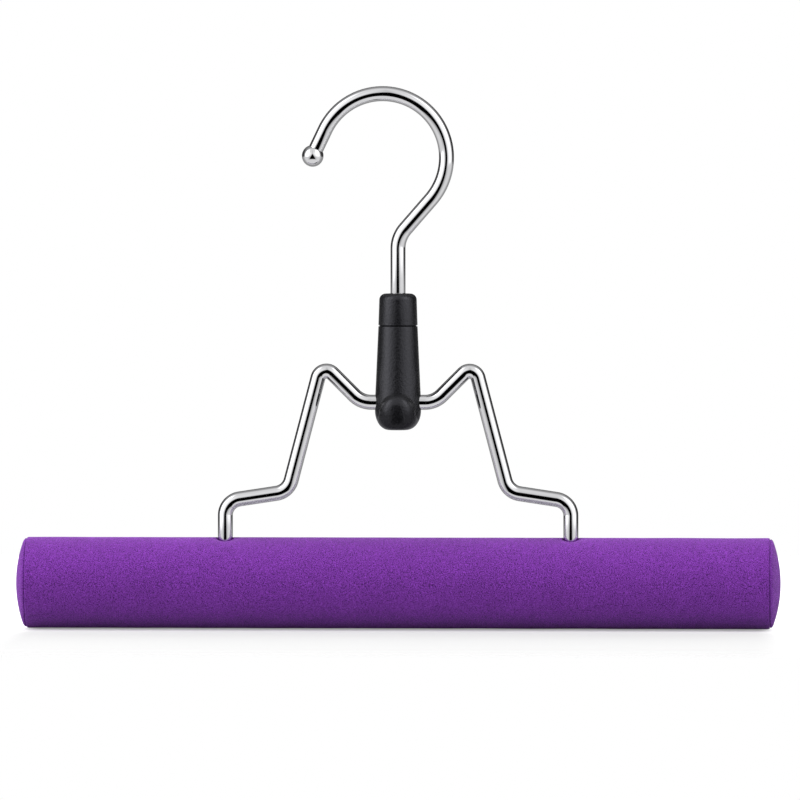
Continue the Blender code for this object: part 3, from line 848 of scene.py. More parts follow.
def sleeve_outline():
    """Down the outside: lip, spigot, shoulder, flank, round foot."""
    spigot = SLEEVE_TOP_RADIUS - SPIGOT_INSET
    lip = SLEEVE_TOP_RADIUS - SPIGOT_LIP_INSET
    corners = [
        (0, SLEEVE_SHOULDER + SPIGOT_RISE, 0),
        (lip, SLEEVE_SHOULDER + SPIGOT_RISE, 0),
        (lip, SLEEVE_SHOULDER + SPIGOT_LIP_RISE, 0),
        (spigot, SLEEVE_SHOULDER + SPIGOT_LIP_RISE, 0),
        (spigot, SLEEVE_SHOULDER, 0),
        (SLEEVE_TOP_RADIUS, SLEEVE_SHOULDER, SHOULDER_ROUND),
        (SLEEVE_FULL_RADIUS, RUN_HEIGHT, FLANK_ROUND),
        (SLEEVE_FULL_RADIUS, SLEEVE_LOW.z + SLEEVE_FOOT_ROUND, 0),
    ]
    points = rounded_outline(corners, closed=False)
    for index in range(1, FOOT_STEPS + 1):
        turned = heading_step(math.pi / 2 * index / FOOT_STEPS)
        across = SLEEVE_FOOT_RADIUS + SLEEVE_FOOT_SPREAD * turned.x
        points.append(Vector((across, SLEEVE_LOW.z + SLEEVE_FOOT_ROUND * (1 - turned.y))))
    points.append(Vector((0, SLEEVE_LOW.z)))
    return points


print("sleeve outline: %d points" % len(sleeve_outline()))

# %% Turn the sleeve and part off its rear
PARTING_GAP = 0.08 * MM
PARTING_ROUND = 0.10 * MM


def turn_front_half():
    """Spin the outline, cut away what is behind the parting line, and round the new edge."""
    shape = spin_outline(sleeve_outline(), False, ABOUT_STEM, TURNED_STEPS)
    rim = keep_half(shape, (0, -PARTING_GAP / 2, 0), (0, 1, 0))
    bmesh.ops.contextual_create(shape, geom=rim)
    round_edges(shape, rim, PARTING_ROUND, segments=2)
    weld(shape)
    return to_object("sleeve_front", shape)


# %% [markdown]
# ## The dome on the sleeve
# On the front sits a flattened ball. In the photograph its upper edge is a clear arc, and its
# lower half has no edge at all: it widens until it is the front of the foot. So a sphere is
# made, and each of its level rings gets a new outline. Above the middle that is the ball's own
# section. Below, it passes into a long oval as wide as the foot, and the same curve brings the
# front in towards the top and the bottom.

# %% Dome sizes
DOME_RADIUS = 6.1 * MM
DOME_SINK = 3.1 * MM
DOME_PROUD = 3.7 * MM
DOME_TOP_EXTRA = 0.35 * MM
DOME_APEX_RISE = 1.7 * MM
DOME_HEIGHT = SLEEVE_LOW.z + DOME_RADIUS
DOME_TOP = DOME_HEIGHT + DOME_RADIUS + DOME_TOP_EXTRA
DOME_APEX = DOME_HEIGHT + DOME_APEX_RISE
DOME_LEAN_SHARE = 0.08
DOME_UPPER_FULLNESS = 2.3
DOME_LOWER_FULLNESS = 7.0
DOME_SPREAD_SHARE = 0.60
DOME_SKIN = 0.05 * MM
FOOT_BACK = -0.15 * MM
SQUARENESS = 0.8


def fuller(share, fullness):
    """How wide a rounded form still is at a share of its half-height; fullness 2 is a circle."""
    return max(0, 1 - share**fullness) ** (1 / fullness)


def squarer(share):
    """A sine or cosine changed so that its ellipse has fuller corners."""
    return math.copysign(abs(share) ** SQUARENESS, share)


def foot_half_width(height):
    """Half the width of the sleeve's round foot at one height."""
    down = min(1, max(0, 1 - (height - SLEEVE_LOW.z) / SLEEVE_FOOT_ROUND))
    return SLEEVE_FOOT_RADIUS + SLEEVE_FOOT_SPREAD * math.sqrt(1 - down**2)


def front_share(height):
    """How far the front comes out at one height: a round top, a slight lean and a round foot."""
    if height > DOME_APEX:
        up = min(1, (height - DOME_APEX) / (DOME_TOP - DOME_APEX))
        return fuller(up, DOME_UPPER_FULLNESS)
    down = min(1, (DOME_APEX - height) / (DOME_APEX - SLEEVE_LOW.z))
    lean = DOME_LEAN_SHARE * (DOME_APEX - height) / (SLEEVE_FULL_RADIUS + DOME_PROUD)
    return (1 - lean) * fuller(down, DOME_LOWER_FULLNESS)


print("dome from %.2f to %.2f mm" % (SLEEVE_LOW.z / MM, DOME_TOP / MM))

# %% Shape the dome
def ball_section(turned, away, height):
    """A point of the flattened ball; away is how near to a pole, from 0 to 1."""
    across = squarer(turned.x) * DOME_RADIUS * fuller(away, 2)
    depth = (DOME_SINK + DOME_PROUD) * front_share(height)
    return Vector((across, DOME_SINK - SLEEVE_FULL_RADIUS + squarer(turned.y) * depth))


def foot_section(turned, height):
    """A point of the foot's own front: a long oval from one side of the sleeve to the other."""
    across = squarer(turned.x) * (foot_half_width(height) - DOME_SKIN)
    depth = (SLEEVE_FULL_RADIUS + DOME_PROUD + FOOT_BACK) * front_share(height)
    return Vector((across, FOOT_BACK - squarer(max(0, -turned.y)) * depth))


def make_dome():
    """A ball above its middle, and below it the front of the foot."""
    shape = bmesh.new()
    bmesh.ops.create_uvsphere(
        shape, u_segments=SPHERE_SEGMENTS, v_segments=SPHERE_RINGS, radius=UNIT
    )
    for vert in shape.verts:
        ring = max(math.hypot(vert.co.x, vert.co.y), WELD)
        turned = Vector((vert.co.x / ring, vert.co.y / ring))
        away = min(1, abs(vert.co.z))
        reach = DOME_TOP - DOME_HEIGHT if vert.co.z > 0 else DOME_RADIUS
        height = DOME_HEIGHT + vert.co.z * reach
        spot = ball_section(turned, away, height)
        if vert.co.z < 0:
            share = min(1, away / DOME_SPREAD_SHARE)
            smooth_share = share * share * (3 - 2 * share)
            spot = spot.lerp(foot_section(turned, height), smooth_share)
        vert.co = (spot.x, spot.y, height)
    weld(shape)
    return to_object("dome", shape)


# %% [markdown]
# ## Carving the sleeve
# Inside, the stem has its bore, the retainer ring its pocket and the run its cross bore, and two
# pegs on one half find two sockets in the other. Booleans do the carving here, because a round
# bore that runs out of a round body has no simple grid of faces. Each half has a peg and
# a socket on either side of the stem, so the rear half is the same moulding, turned half a turn.

# %% Carving helpers
CUT_OVERRUN = 2.0 * MM
BORE_STEPS = 64


def solid_rod(name, radius, start, end, steps=BORE_STEPS):
    """A round rod between two points, to cut with or to join on."""
    shape = bmesh.new()
    way = Vector(end) - Vector(start)
    middle = (Vector(start) + Vector(end)) / 2
    place = Matrix.Translation(middle) @ way.to_track_quat("Z", "Y").to_matrix().to_4x4()
    bmesh.ops.create_cone(
        shape, cap_ends=True, segments=steps, radius1=radius, radius2=radius, depth=way.length,
        matrix=place,
    )
    return to_object(name, shape)


def carve(piece, joined, removed):
    """Join rods and domes on to a piece and cut others out of it, for good."""
    for operation, others in (("UNION", joined), ("DIFFERENCE", removed)):
        for other in others:
            modifier = piece.modifiers.new(other.name, "BOOLEAN")
            modifier.operation = operation
            modifier.solver = "EXACT"
            modifier.object = other
    bpy.context.view_layer.update()
    graph = bpy.context.evaluated_depsgraph_get()
    carved = bpy.data.meshes.new_from_object(piece.evaluated_get(graph))
    piece.modifiers.clear()
    piece.data = carved
    for other in joined + removed:
        bpy.data.objects.remove(other, do_unlink=True)
    smooth(carved)
    return piece


# %% Bores, pegs and sockets
STEM_BORE_RADIUS = 2.7 * MM
RUN_BORE_RADIUS = 2.62 * MM
RING_POCKET_RADIUS = 4.8 * MM
RING_POCKET_FLOOR = 6.8 * MM
RING_POCKET_TOP = 10.3 * MM
PEG_RADIUS = 0.75 * MM
PEG_REACH = 1.6 * MM
PEG_STEPS = 32
UPPER_PEG_SIDE = 5.0 * MM
UPPER_PEG_RISE = 17.0 * MM
LOWER_PEG_SIDE = 3.0 * MM
LOWER_PEG_DROP = 5.95 * MM


def sleeve_bores():
    """The stem's bore, the retainer ring's pocket and the cross bore for the run."""
    floor = RUN_HEIGHT + RING_POCKET_FLOOR
    ceiling = RUN_HEIGHT + RING_POCKET_TOP
    side = SLEEVE_FULL_RADIUS + CUT_OVERRUN
    above = SLEEVE_HIGH.z + CUT_OVERRUN
    return [
        solid_rod("ring_pocket", RING_POCKET_RADIUS, (0, 0, floor), (0, 0, ceiling)),
        solid_rod("stem_bore", STEM_BORE_RADIUS, (0, 0, floor), (0, 0, above)),
        solid_rod("run_bore", RUN_BORE_RADIUS, (-side, 0, RUN_HEIGHT), (side, 0, RUN_HEIGHT)),
    ]


def sleeve_locators():
    """Pegs on the parting face, and mirrored across the stem the sockets for the others."""
    upper = (UPPER_PEG_SIDE, RUN_HEIGHT + UPPER_PEG_RISE)
    lower = (-LOWER_PEG_SIDE, RUN_HEIGHT - LOWER_PEG_DROP)
    back = -PARTING_GAP / 2 - PEG_REACH
    front = -PARTING_GAP / 2 + PEG_REACH
    pegs = []
    sockets = []
    for number, (across, height) in enumerate((upper, lower)):
        peg_ends = (across, back, height), (across, front, height)
        socket_ends = (-across, back, height), (-across, CUT_OVERRUN, height)
        pegs.append(solid_rod("peg_%d" % number, PEG_RADIUS, *peg_ends, PEG_STEPS))
        socket_radius = PEG_RADIUS + CLEARANCE
        sockets.append(solid_rod("socket_%d" % number, socket_radius, *socket_ends, PEG_STEPS))
    return pegs, sockets


# %% Make both halves of the sleeve
def make_sleeve():
    front = turn_front_half()
    pegs, sockets = sleeve_locators()
    carve(front, [make_dome()] + pegs, sleeve_bores() + sockets)
    rear_mesh = front.data.copy()
    rear_mesh.transform(Matrix.Rotation(math.pi, 4, "Z"))
    rear = add_object("sleeve_rear", rear_mesh)
    dress(front, "black_plastic", "sleeve", "sleeve_front_shell")
    dress(rear, "black_plastic", "sleeve", "sleeve_rear_shell")


make_sleeve()

# %% [markdown]
# ## The frame wire
# One wire again: down a leg, over a hump, through the sleeve and back the same way mirrored. The
# corners of its centre line are given, and a bend takes up a tangent's length on each side of
# its corner. So the bender is fed from corner to corner, less the two tangents.

# %% Corners of the frame
RUN_HALF_LENGTH = 12.2 * MM
RUN_BEND_INSIDE = 5.5 * MM
HUMP_HALF_WIDTH = 25.3 * MM
HUMP_RISE = 13.05 * MM
HUMP_BEND_INSIDE = 0.4 * MM
KNEE_HALF_WIDTH = 36.5 * MM
KNEE_DROP = 29.7 * MM
KNEE_BEND_INSIDE = 3.5 * MM
STUB_HALF_SPACING = 57.4 * MM
STEP_DROP = 32.9 * MM
STUB_BEND_INSIDE = 3.0 * MM
STUB_END_DROP = 60.9 * MM
HALF_FRAME = [
    (RUN_HALF_LENGTH, RUN_HEIGHT, RUN_BEND_INSIDE),
    (HUMP_HALF_WIDTH, RUN_HEIGHT + HUMP_RISE, HUMP_BEND_INSIDE),
    (KNEE_HALF_WIDTH, RUN_HEIGHT - KNEE_DROP, KNEE_BEND_INSIDE),
    (STUB_HALF_SPACING, RUN_HEIGHT - STEP_DROP, STUB_BEND_INSIDE),
    (STUB_HALF_SPACING, RUN_HEIGHT - STUB_END_DROP, 0),
]


def frame_corners():
    """From left stub to right stub, each corner as (place, radius inside the bend)."""
    left = [(-across, height, inside) for across, height, inside in reversed(HALF_FRAME)]
    return [(Vector((across, height)), inside) for across, height, inside in left + HALF_FRAME]


print("frame corners, ends included: %d" % len(frame_corners()))

# %% Bend the frame
def bend_frame():
    corners = frame_corners()
    first_way = corners[1][0] - corners[0][0]
    bender = WireBender(corners[0][0], math.atan2(first_way.y, first_way.x))
    spare = 0.0
    for (before, _), (corner, inside), (after, _) in zip(corners, corners[1:], corners[2:]):
        inward = corner - before
        turn = -inward.angle_signed(after - corner)
        radius = WIRE_RADIUS + inside
        tangent = radius * math.tan(abs(turn) / 2)
        bender.feed(inward.length - spare - tangent)
        bender.bend(radius, turn)
        spare = tangent
    bender.feed((corners[-1][0] - corners[-2][0]).length - spare)
    print("frame ends at x = %.3f mm" % (bender.spot.x / MM))
    dress(bender.cut("bent_frame"), "chrome", "frame", "frame_wire")


bend_frame()

# %% [markdown]
# ## The cloth cover
# The cover is a tube of cloth pulled tight over foam. Where the domed end panels are sewn on,
# both edges roll inwards and meet in a fine groove. That roll is what makes a seam read as sewn,
# so it is modelled and not painted. The outline along the bar is spun about the bar's axis with
# a grid of about one millimetre, fine enough for the cloth's slight waviness.

# %% The bar's corner and the rolled edge
END_DOME_RADIUS = 41.0 * MM
END_CORNER_RADIUS = 2.2 * MM
SEAM_TURN_SHARE = 0.39
ROLL_RADIUS = 0.40 * MM
SEAM_HALF_GAP = 0.04 * MM
LIP_DEPTH = 0.5 * MM
END_CORNER_RADIAL = BAR_RADIUS - END_CORNER_RADIUS
END_CORNER_REACH = END_DOME_RADIUS - END_CORNER_RADIUS
END_DOME_CENTRE = BAR_HALF_LENGTH - END_DOME_RADIUS
END_DOME_LEAN = math.asin(END_CORNER_RADIAL / END_CORNER_REACH)
END_CORNER_LENGTH = END_DOME_CENTRE + END_CORNER_REACH * math.cos(END_DOME_LEAN)
END_CORNER_TURN = math.pi / 2 - END_DOME_LEAN
SEAM_ANGLE = END_CORNER_TURN * SEAM_TURN_SHARE
END_CORNER = Vector((END_CORNER_RADIAL, END_CORNER_LENGTH))


def rolled_edge(side):
    """From the corner's arc round the roll and down into the seam; side is -1 for the tube."""
    reach = END_CORNER_RADIUS - ROLL_RADIUS
    leave = SEAM_ANGLE + side * math.asin((ROLL_RADIUS + SEAM_HALF_GAP) / reach)
    centre = END_CORNER + reach * heading_step(leave)
    points = arc_points(centre, ROLL_RADIUS, leave, SEAM_ANGLE - side * math.pi / 2)
    points.append(points[-1] - LIP_DEPTH * heading_step(SEAM_ANGLE))
    return leave, points


print("seam %.1f degrees round the bar's corner" % math.degrees(SEAM_ANGLE))

# %% Outline of the cover
CLOTH_PITCH = 1.0 * MM
HOLE_PATCH_CELLS = 10
HOLE_PATCH_HALF = HOLE_PATCH_CELLS / 2 * CLOTH_PITCH


def even_stations(stops, pitch):
    """Places from the first stop to the last, with every stop among them."""
    places = [stops[0]]
    for start, end in zip(stops, stops[1:]):
        count = max(1, round((end - start) / pitch))
        places.extend(start + (end - start) * index / count for index in range(1, count + 1))
    return places


def cover_outline():
    """(Radius, length) points from the left seam to the right one."""
    patch = (STUB_HALF_SPACING - HOLE_PATCH_HALF, STUB_HALF_SPACING + HOLE_PATCH_HALF)
    stations = even_stations([0, *patch, END_CORNER_LENGTH], CLOTH_PITCH)
    side = [Vector((BAR_RADIUS, place)) for place in stations]
    leave, roll = rolled_edge(-1)
    corner = arc_points(END_CORNER, END_CORNER_RADIUS, 0, leave)
    right = side + corner[1:] + roll[1:]
    left = [Vector((radius, -place)) for radius, place in reversed(right[1:])]
    return left + right


print("cover outline: %d points" % len(cover_outline()))

# %% [markdown]
# ## The holes for the stubs
# The wire goes into the bar through two small holes, where the cloth turns down against it. The
# spun grid has square cells there, so a square patch comes out, a ring of as many vertices goes
# in, and the two are bridged. The new faces are subdivided and laid back on the bar's round. The
# photograph shows the cloth dip in front of each stub, so it is drawn down there, and then the
# hole's edge is turned in.

# %% Cut the holes
BAR_STEPS = 96
HOLE_RADIUS = 3.15 * MM
BRIDGE_CUTS = 5


def cut_hole(shape, place):
    """A round hole in the top of the spun tube at one place along it."""
    half_turn = math.pi * HOLE_PATCH_CELLS / BAR_STEPS
    inside = []
    for face in shape.faces:
        middle = face.calc_center_median()
        near = abs(middle.x - place) < HOLE_PATCH_HALF
        if near and abs(math.atan2(middle.y, middle.z)) < half_turn:
            inside.append(face)
    before = set(open_edges(shape))
    bmesh.ops.delete(shape, geom=inside, context="FACES")
    square = [edge for edge in open_edges(shape) if edge not in before]
    top = Matrix.Translation((place, 0, BAR_RADIUS))
    made = bmesh.ops.create_circle(shape, segments=len(square), radius=HOLE_RADIUS, matrix=top)
    circle = ring_edges(made["verts"])
    spokes = bmesh.ops.bridge_loops(shape, edges=square + circle)["edges"]
    bmesh.ops.subdivide_edges(shape, edges=spokes, cuts=BRIDGE_CUTS, use_grid_fill=True)
    reach = HOLE_PATCH_HALF + CLOTH_PITCH
    for vert in shape.verts:
        if vert.co.z > 0 and abs(vert.co.x - place) < reach and abs(vert.co.y) < reach:
            vert.co.z = math.sqrt(BAR_RADIUS**2 - vert.co.y**2)
    return [edge for edge in open_edges(shape) if edge not in before]


# %% Draw the cloth down and turn its edge in
HOLE_LIP_STEP = 0.25 * MM
HOLE_LIP_DEPTH = 1.0 * MM
DIMPLE_DEPTH = 0.90 * MM
DIMPLE_REACH = 2.3 * MM


def draw_down(shape, place):
    """The cloth dips in front of the hole, where the stub presses on its edge."""
    for vert in shape.verts:
        if vert.co.z < 0:
            continue
        distance = math.hypot(vert.co.x - place, vert.co.y)
        away = max(0, distance - HOLE_RADIUS)
        front = max(0, -vert.co.y / distance)
        vert.co.z -= DIMPLE_DEPTH * front * math.exp(-(away / DIMPLE_REACH) ** 2)


def turn_in(shape, edges, place):
    """Two short extrusions: the edge rolls over, then goes straight down."""
    for inward, down in ((HOLE_LIP_STEP / 2, HOLE_LIP_STEP), (0, HOLE_LIP_DEPTH)):
        made = bmesh.ops.extrude_edge_only(shape, edges=edges)
        verts = only(bmesh.types.BMVert, made["geom"])
        share = 1 - inward / HOLE_RADIUS
        centre = Matrix.Translation((-place, 0, 0))
        bmesh.ops.scale(shape, verts=verts, vec=(share, share, 1), space=centre)
        bmesh.ops.translate(shape, verts=verts, vec=(0, 0, -down))
        edges = ring_edges(verts)


# %% [markdown]
# ## Slack in the cloth
# Even tight cloth isn't a perfect cylinder. A slow wave of a few hundredths of a millimetre
# bends the highlight along the bar, and the stitches gather the cloth into faint puckers beside
# each seam. Both are moves of the vertices, so they stay in the mesh when it is exported.

# %% Waves and puckers
WAVE_HEIGHT = 0.06 * MM
WAVE_LENGTH = 17.0 * MM
PUCKER_HEIGHT = 0.05 * MM
PUCKER_REACH = 4.0 * MM
PUCKERS_AROUND = 44


def cloth_slack(spot):
    """How far the cloth stands out of its plain shape at one spot of the bar."""
    wave = WAVE_HEIGHT * noise.noise(spot / WAVE_LENGTH)
    from_seam = max(0, END_CORNER_LENGTH - abs(spot.x))
    around = math.atan2(spot.y, spot.z)
    gather = math.sin(PUCKERS_AROUND * around + 2 * noise.noise(spot / (WAVE_LENGTH / 2)))
    return wave + PUCKER_HEIGHT * gather * math.exp(-from_seam / PUCKER_REACH)


def slacken(shape):
    """Move each vertex in or out by the cloth's slack."""
    for vert in shape.verts:
        outward = Vector((0, vert.co.y, vert.co.z))
        if outward.length > 0:
            vert.co += outward.normalized() * cloth_slack(vert.co)


# %% Make the cover
CLOTH_THICKNESS = 0.35 * MM


def to_bar(name, shape):
    """Lift a spun shape to the bar's height and make it an object."""
    bmesh.ops.translate(shape, verts=shape.verts, vec=(0, 0, BAR_HEIGHT))
    return to_object(name, shape)


def dress_cloth(piece, solid):
    """Give a sheet of cloth its thickness, inwards, and its finish."""
    solidify = piece.modifiers.new("thickness", "SOLIDIFY")
    solidify.thickness = CLOTH_THICKNESS
    solidify.offset = -1
    dress_soft(piece, "purple_cloth", solid)


def make_cover():
    shape = spin_outline(cover_outline(), False, ABOUT_BAR, BAR_STEPS)
    slacken(shape)
    for place in (-STUB_HALF_SPACING, STUB_HALF_SPACING):
        edge = cut_hole(shape, place)
        draw_down(shape, place)
        turn_in(shape, edge, place)
    weld(shape)
    dress_cloth(to_bar("cloth_cover", shape), "cover_tube")


make_cover()

# %% [markdown]
# ## The domed ends
# Each end is a disc of the same cloth, sewn in over a foam pad that crowns it. Its outline is
# the other side of the seam, the rest of the corner and a flat dome, spun about the same axis.

# %% Make both end panels
DOME_STEPS = 22


def end_outline(corner_points, inset):
    """Points up to the end's corner, followed by the flat dome from its edge to its tip."""
    centre = Vector((0, END_DOME_CENTRE))
    points = list(corner_points)
    for index in range(1, DOME_STEPS + 1):
        lean = END_DOME_LEAN * (1 - index / DOME_STEPS)
        points.append(centre + (END_DOME_RADIUS - inset) * heading_step(math.pi / 2 - lean))
    return points


def spin_end(points, facing, steps):
    """Spin a right-hand end; facing is -1 to make it the left one."""
    outline = [Vector((radius, facing * place)) for radius, place in points]
    return spin_outline(outline, False, ABOUT_BAR, steps)


def make_end_panel(side, facing):
    leave, roll = rolled_edge(1)
    corner = arc_points(END_CORNER, END_CORNER_RADIUS, leave, END_CORNER_TURN)
    points = end_outline(roll[::-1] + corner[1:], 0)
    shape = spin_end(points, facing, BAR_STEPS)
    slacken(shape)
    dress_cloth(to_bar("cloth_end_" + side, shape), "end_panel_" + side)


SIDES = {"left": -1, "right": 1}
for end_side, end_facing in SIDES.items():
    make_end_panel(end_side, end_facing)

# %% [markdown]
# ## The foam inside
# Cream foam fills the cloth: a long tube round the dowel and a domed pad in each end. Nobody
# sees it in the photograph, and it still has soft corners and the two holes, because someone
# may take the cover off.

# %% Make the foam
FOAM_LOW, FOAM_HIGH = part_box("foam_pad")
CORE_LOW, CORE_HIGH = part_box("bar_core")
FOAM_RADIUS = (FOAM_HIGH.y - FOAM_LOW.y) / 2
FOAM_BORE = (CORE_HIGH.y - CORE_LOW.y) / 2 + CLEARANCE
FOAM_CORNER = 0.8 * MM
FOAM_STEPS = 72


def make_foam_tube():
    end = FOAM_HIGH.x
    ring = ((FOAM_RADIUS, -end), (FOAM_RADIUS, end), (FOAM_BORE, end), (FOAM_BORE, -end))
    corners = [(radius, place, FOAM_CORNER) for radius, place in ring]
    shape = spin_outline(rounded_outline(corners), True, ABOUT_BAR, FOAM_STEPS)
    piece = to_bar("foam_tube", shape)
    top = BAR_HEIGHT + BAR_RADIUS + CUT_OVERRUN
    holes = []
    for place in (-STUB_HALF_SPACING, STUB_HALF_SPACING):
        holes.append(solid_rod("stub_hole", HOLE_RADIUS, (place, 0, BAR_HEIGHT), (place, 0, top)))
    dress_soft(carve(piece, [], holes), "foam", "foam_pad")


def make_foam_end(side, facing):
    """Flat back, side, corner and dome, as far inside the cloth as the solid pad is."""
    node = "end_pad_" + side
    low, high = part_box(node)
    back = facing * (low.x if facing > 0 else high.x)
    radius = (high.y - low.y) / 2
    inset = BAR_RADIUS - radius
    corner = arc_points(END_CORNER, END_CORNER_RADIUS - inset, 0, END_CORNER_TURN)
    points = end_outline([Vector((0, back)), Vector((radius, back))] + corner, inset)
    shape = spin_end(points, facing, FOAM_STEPS)
    dress_soft(to_bar("foam_end_" + side, shape), "foam", node)


make_foam_tube()
for end_side, end_facing in SIDES.items():
    make_foam_end(end_side, end_facing)

# %% [markdown]
# ## Solids that stay
# The dowel, the washer and the retainer ring have their full shape already. They only take
# a finish.

# %% Finish the plain turned parts
PLAIN_PARTS = {"bar_core": "wood", "thrust_washer": "white_plastic", "retainer_ring": "steel"}
for node_name, finish_name in PLAIN_PARTS.items():
    node_mesh = frame["nodes"][node_name].data
    node_mesh.materials.clear()
    node_mesh.materials.append(FINISHES[finish_name])
    print("finished", node_name)

# %% [markdown]
# ## Floor
# The hanger stands on a white table, which the camera sees almost edge on, so it shows only as the
# long, soft shadow in front of the bar. That shadow is partly real and partly painted. The table's
# own colour is a middle grey, and to the camera it also glows a little, so that a shadow is pale
# and the rest is white. The glow is least next to the bar and grows towards the front, which paints
# the shadow's long fade. A band along the bar's foot glows more, which paints light into the
# contact shadow. Past the bar's ends and behind the bar the glow makes the table plain white, as in
# the photograph. The table fades out before its edges, it is clear from below so that no view is
# cut off by it, and it is clear to chrome, which mirrors the painted room instead.

# %% Light of the table
TABLE_FRONT = -190.0 * MM
GLOW_NEAR = 0.09
GLOW_FAR = 0.20
GLOW_UNDER = 0.20
GLOW_ASIDE = 0.5
UNDER_FROM = 28.0 * MM
UNDER_TO = 6.0 * MM
WHITE_FROM = 119.0 * MM
WHITE_TO = 126.0 * MM
WHITE_SPREAD_SHARE = 0.3
WHITE_BEHIND = 40.0 * MM


def plain_white(tree, across, back):
    """1 past the bar's ends, which widens in front, and 1 behind the bar."""
    ahead = larger(tree, product(tree, back, -1.0), 0.0)
    edge = math_node(tree, "MULTIPLY_ADD", ahead, WHITE_SPREAD_SHARE, WHITE_TO)
    ends = ramp(tree, unsigned(tree, across), WHITE_FROM, edge)
    return larger(tree, ends, ramp(tree, back, 0.0, WHITE_BEHIND))


def table_glow(tree, across, back):
    """How much the table glows: least by the bar and more to the front as painted shadow, more
    along the bar's foot as painted light, and white past its ends and behind it.
    """
    glow = ramp(tree, back, 0.0, TABLE_FRONT, GLOW_NEAR, GLOW_FAR)
    from_bar = unsigned(tree, back)
    under = ramp(tree, from_bar, UNDER_FROM, UNDER_TO, 0.0, GLOW_UNDER)
    near = math_node(tree, "ADD", glow, under)
    return math_node(tree, "MULTIPLY_ADD", plain_white(tree, across, back), GLOW_ASIDE, near)


# %% Make the table
TABLE_GAP = 0.15 * MM
TABLE_HALF_WIDTH = 620.0 * MM
TABLE_BACK = 560.0 * MM
TABLE_MIDDLE = (TABLE_FRONT + TABLE_BACK) / 2
TABLE_HALF_DEPTH = (TABLE_BACK - TABLE_FRONT) / 2
TABLE_FADE = 50.0 * MM
TABLE_GREY = (0.50, 0.50, 0.50, 1.0)
WHITE = (1.0, 1.0, 1.0, 1.0)


def fade_to_edge(tree, distance, half_size):
    """1 on the table and 0 at its edge."""
    away = unsigned(tree, distance)
    return ramp(tree, away, half_size, half_size - TABLE_FADE)


def make_table_material():
    material, tree, shader, place = start_material("table", TABLE_GREY, roughness=0.9)
    across, back, _ = split(tree, place)
    path = add_node(tree, "ShaderNodeLightPath").outputs
    glow = product(tree, path["Is Camera Ray"], table_glow(tree, across, back))
    light = {"Emission Color": WHITE, "Emission Strength": glow, "Specular IOR Level": 0.0}
    set_inputs(tree, shader, light)
    from_middle = math_node(tree, "SUBTRACT", back, TABLE_MIDDLE)
    sides = fade_to_edge(tree, across, TABLE_HALF_WIDTH)
    ends = fade_to_edge(tree, from_middle, TABLE_HALF_DEPTH)
    below = add_node(tree, "ShaderNodeNewGeometry").outputs["Backfacing"]
    hidden = larger(tree, below, path["Is Glossy Ray"])
    solid = math_node(tree, "SUBTRACT", 1.0, hidden)
    kept = product(tree, product(tree, sides, ends), solid)
    clear = add_node(tree, "ShaderNodeBsdfTransparent").outputs[0]
    mix = add_node(tree, "ShaderNodeMixShader", {0: kept, 1: clear, 2: shader.outputs[0]})
    tree.links.new(mix.outputs[0], tree.nodes["Material Output"].inputs["Surface"])
    return material


def make_table():
    shape = bmesh.new()
    bmesh.ops.create_grid(shape, x_segments=1, y_segments=1, size=UNIT)
    size = (TABLE_HALF_WIDTH, TABLE_HALF_DEPTH, 1)
    bmesh.ops.scale(shape, verts=shape.verts, vec=size)
    place = (0, TABLE_MIDDLE, BAR_HEIGHT - BAR_RADIUS - TABLE_GAP)
    bmesh.ops.translate(shape, verts=shape.verts, vec=place)
    table = to_object("table", shape)
    table.data.materials.append(make_table_material())


make_table()

# %% [markdown]
# ## The studio round it
# Chrome shows what surrounds it, so the studio matters as much as the metal. The photographed
# wire has a black line down its middle, white on both sides and dark edges. Read backwards, that
# is a dark gap round the camera, white walls, a white panel on each side that is brightest high
# up, a dim rear with one low window, and a floor that is light in front and darker behind. The
# world is written as such a room, in directions: right, back and up. A line of numbers below is
# one soft step: from, to, and mostly the level before it and after it. The camera itself sees
# plain white.

# %% Levels of the studio
WALLS = (-0.6, -0.05, 0.45, 1.18)
WALLS_LESS_HIGH_UP = (0.35, 0.85, 0.0, 0.36)
LEFT_PANEL = (0.20, 0.50, 1.35, 2.1)
RIGHT_PANEL = (0.20, 0.50, 0.35, 1.9)
PANEL_TURN = 1.10
PANEL_HALF_WIDTH = 0.50
PANEL_ENDS = (0.97, 0.70)
GAP_SHARP_SIDE = (0.22, 0.32, 0.0, 0.58)
GAP_SOFT_SIDE = (0.26, 0.75, 0.0, 0.42)
GAP_CLOSING_SHARE = 0.65
GAP_WIDENING_SHARE = 0.6
REAR = (0.25, 0.95, 0.040, 0.33)
WINDOW = (0.75, 0.97, 0.0, 0.35)
WINDOW_TOP = (0.035, -0.020)
FRONT_TO_REAR = (-0.26, 0.34)
FLOOR_LEVEL = (-0.15, 0.55, 0.80, 0.33)
FLOOR_STRAIGHT_DOWN = (-0.50, -0.63)
WALL_TO_FLOOR = (-0.04, -0.12)


def studio_directions(tree):
    """Back and up of the direction looked in, and its turn from straight ahead."""
    right, back, up = split(tree, add_node(tree, "ShaderNodeTexCoord").outputs["Generated"])
    turn = math_node(tree, "ARCTAN2", right, product(tree, back, -1.0))
    return back, up, turn


def past_the_gap(tree, turn, up):
    """0 in the dark gap round the camera, which closes above it and widens below."""
    above = larger(tree, up, 0.0)
    below = math_node(tree, "MINIMUM", up, 0.0)
    aside = unsigned(tree, turn)
    closed = math_node(tree, "MULTIPLY_ADD", above, GAP_CLOSING_SHARE, aside)
    edge = math_node(tree, "MULTIPLY_ADD", below, GAP_WIDENING_SHARE, closed)
    sharp = ramp(tree, edge, *GAP_SHARP_SIDE)
    return math_node(tree, "ADD", sharp, ramp(tree, edge, *GAP_SOFT_SIDE))


def panel(tree, turn, up, middle, level):
    """A soft white panel that stands to one side."""
    away = unsigned(tree, math_node(tree, "SUBTRACT", turn, middle))
    across = ramp(tree, away, PANEL_HALF_WIDTH, 0.0, 0.0, ramp(tree, up, *level))
    height = ramp(tree, unsigned(tree, up), *PANEL_ENDS)
    return product(tree, across, height)


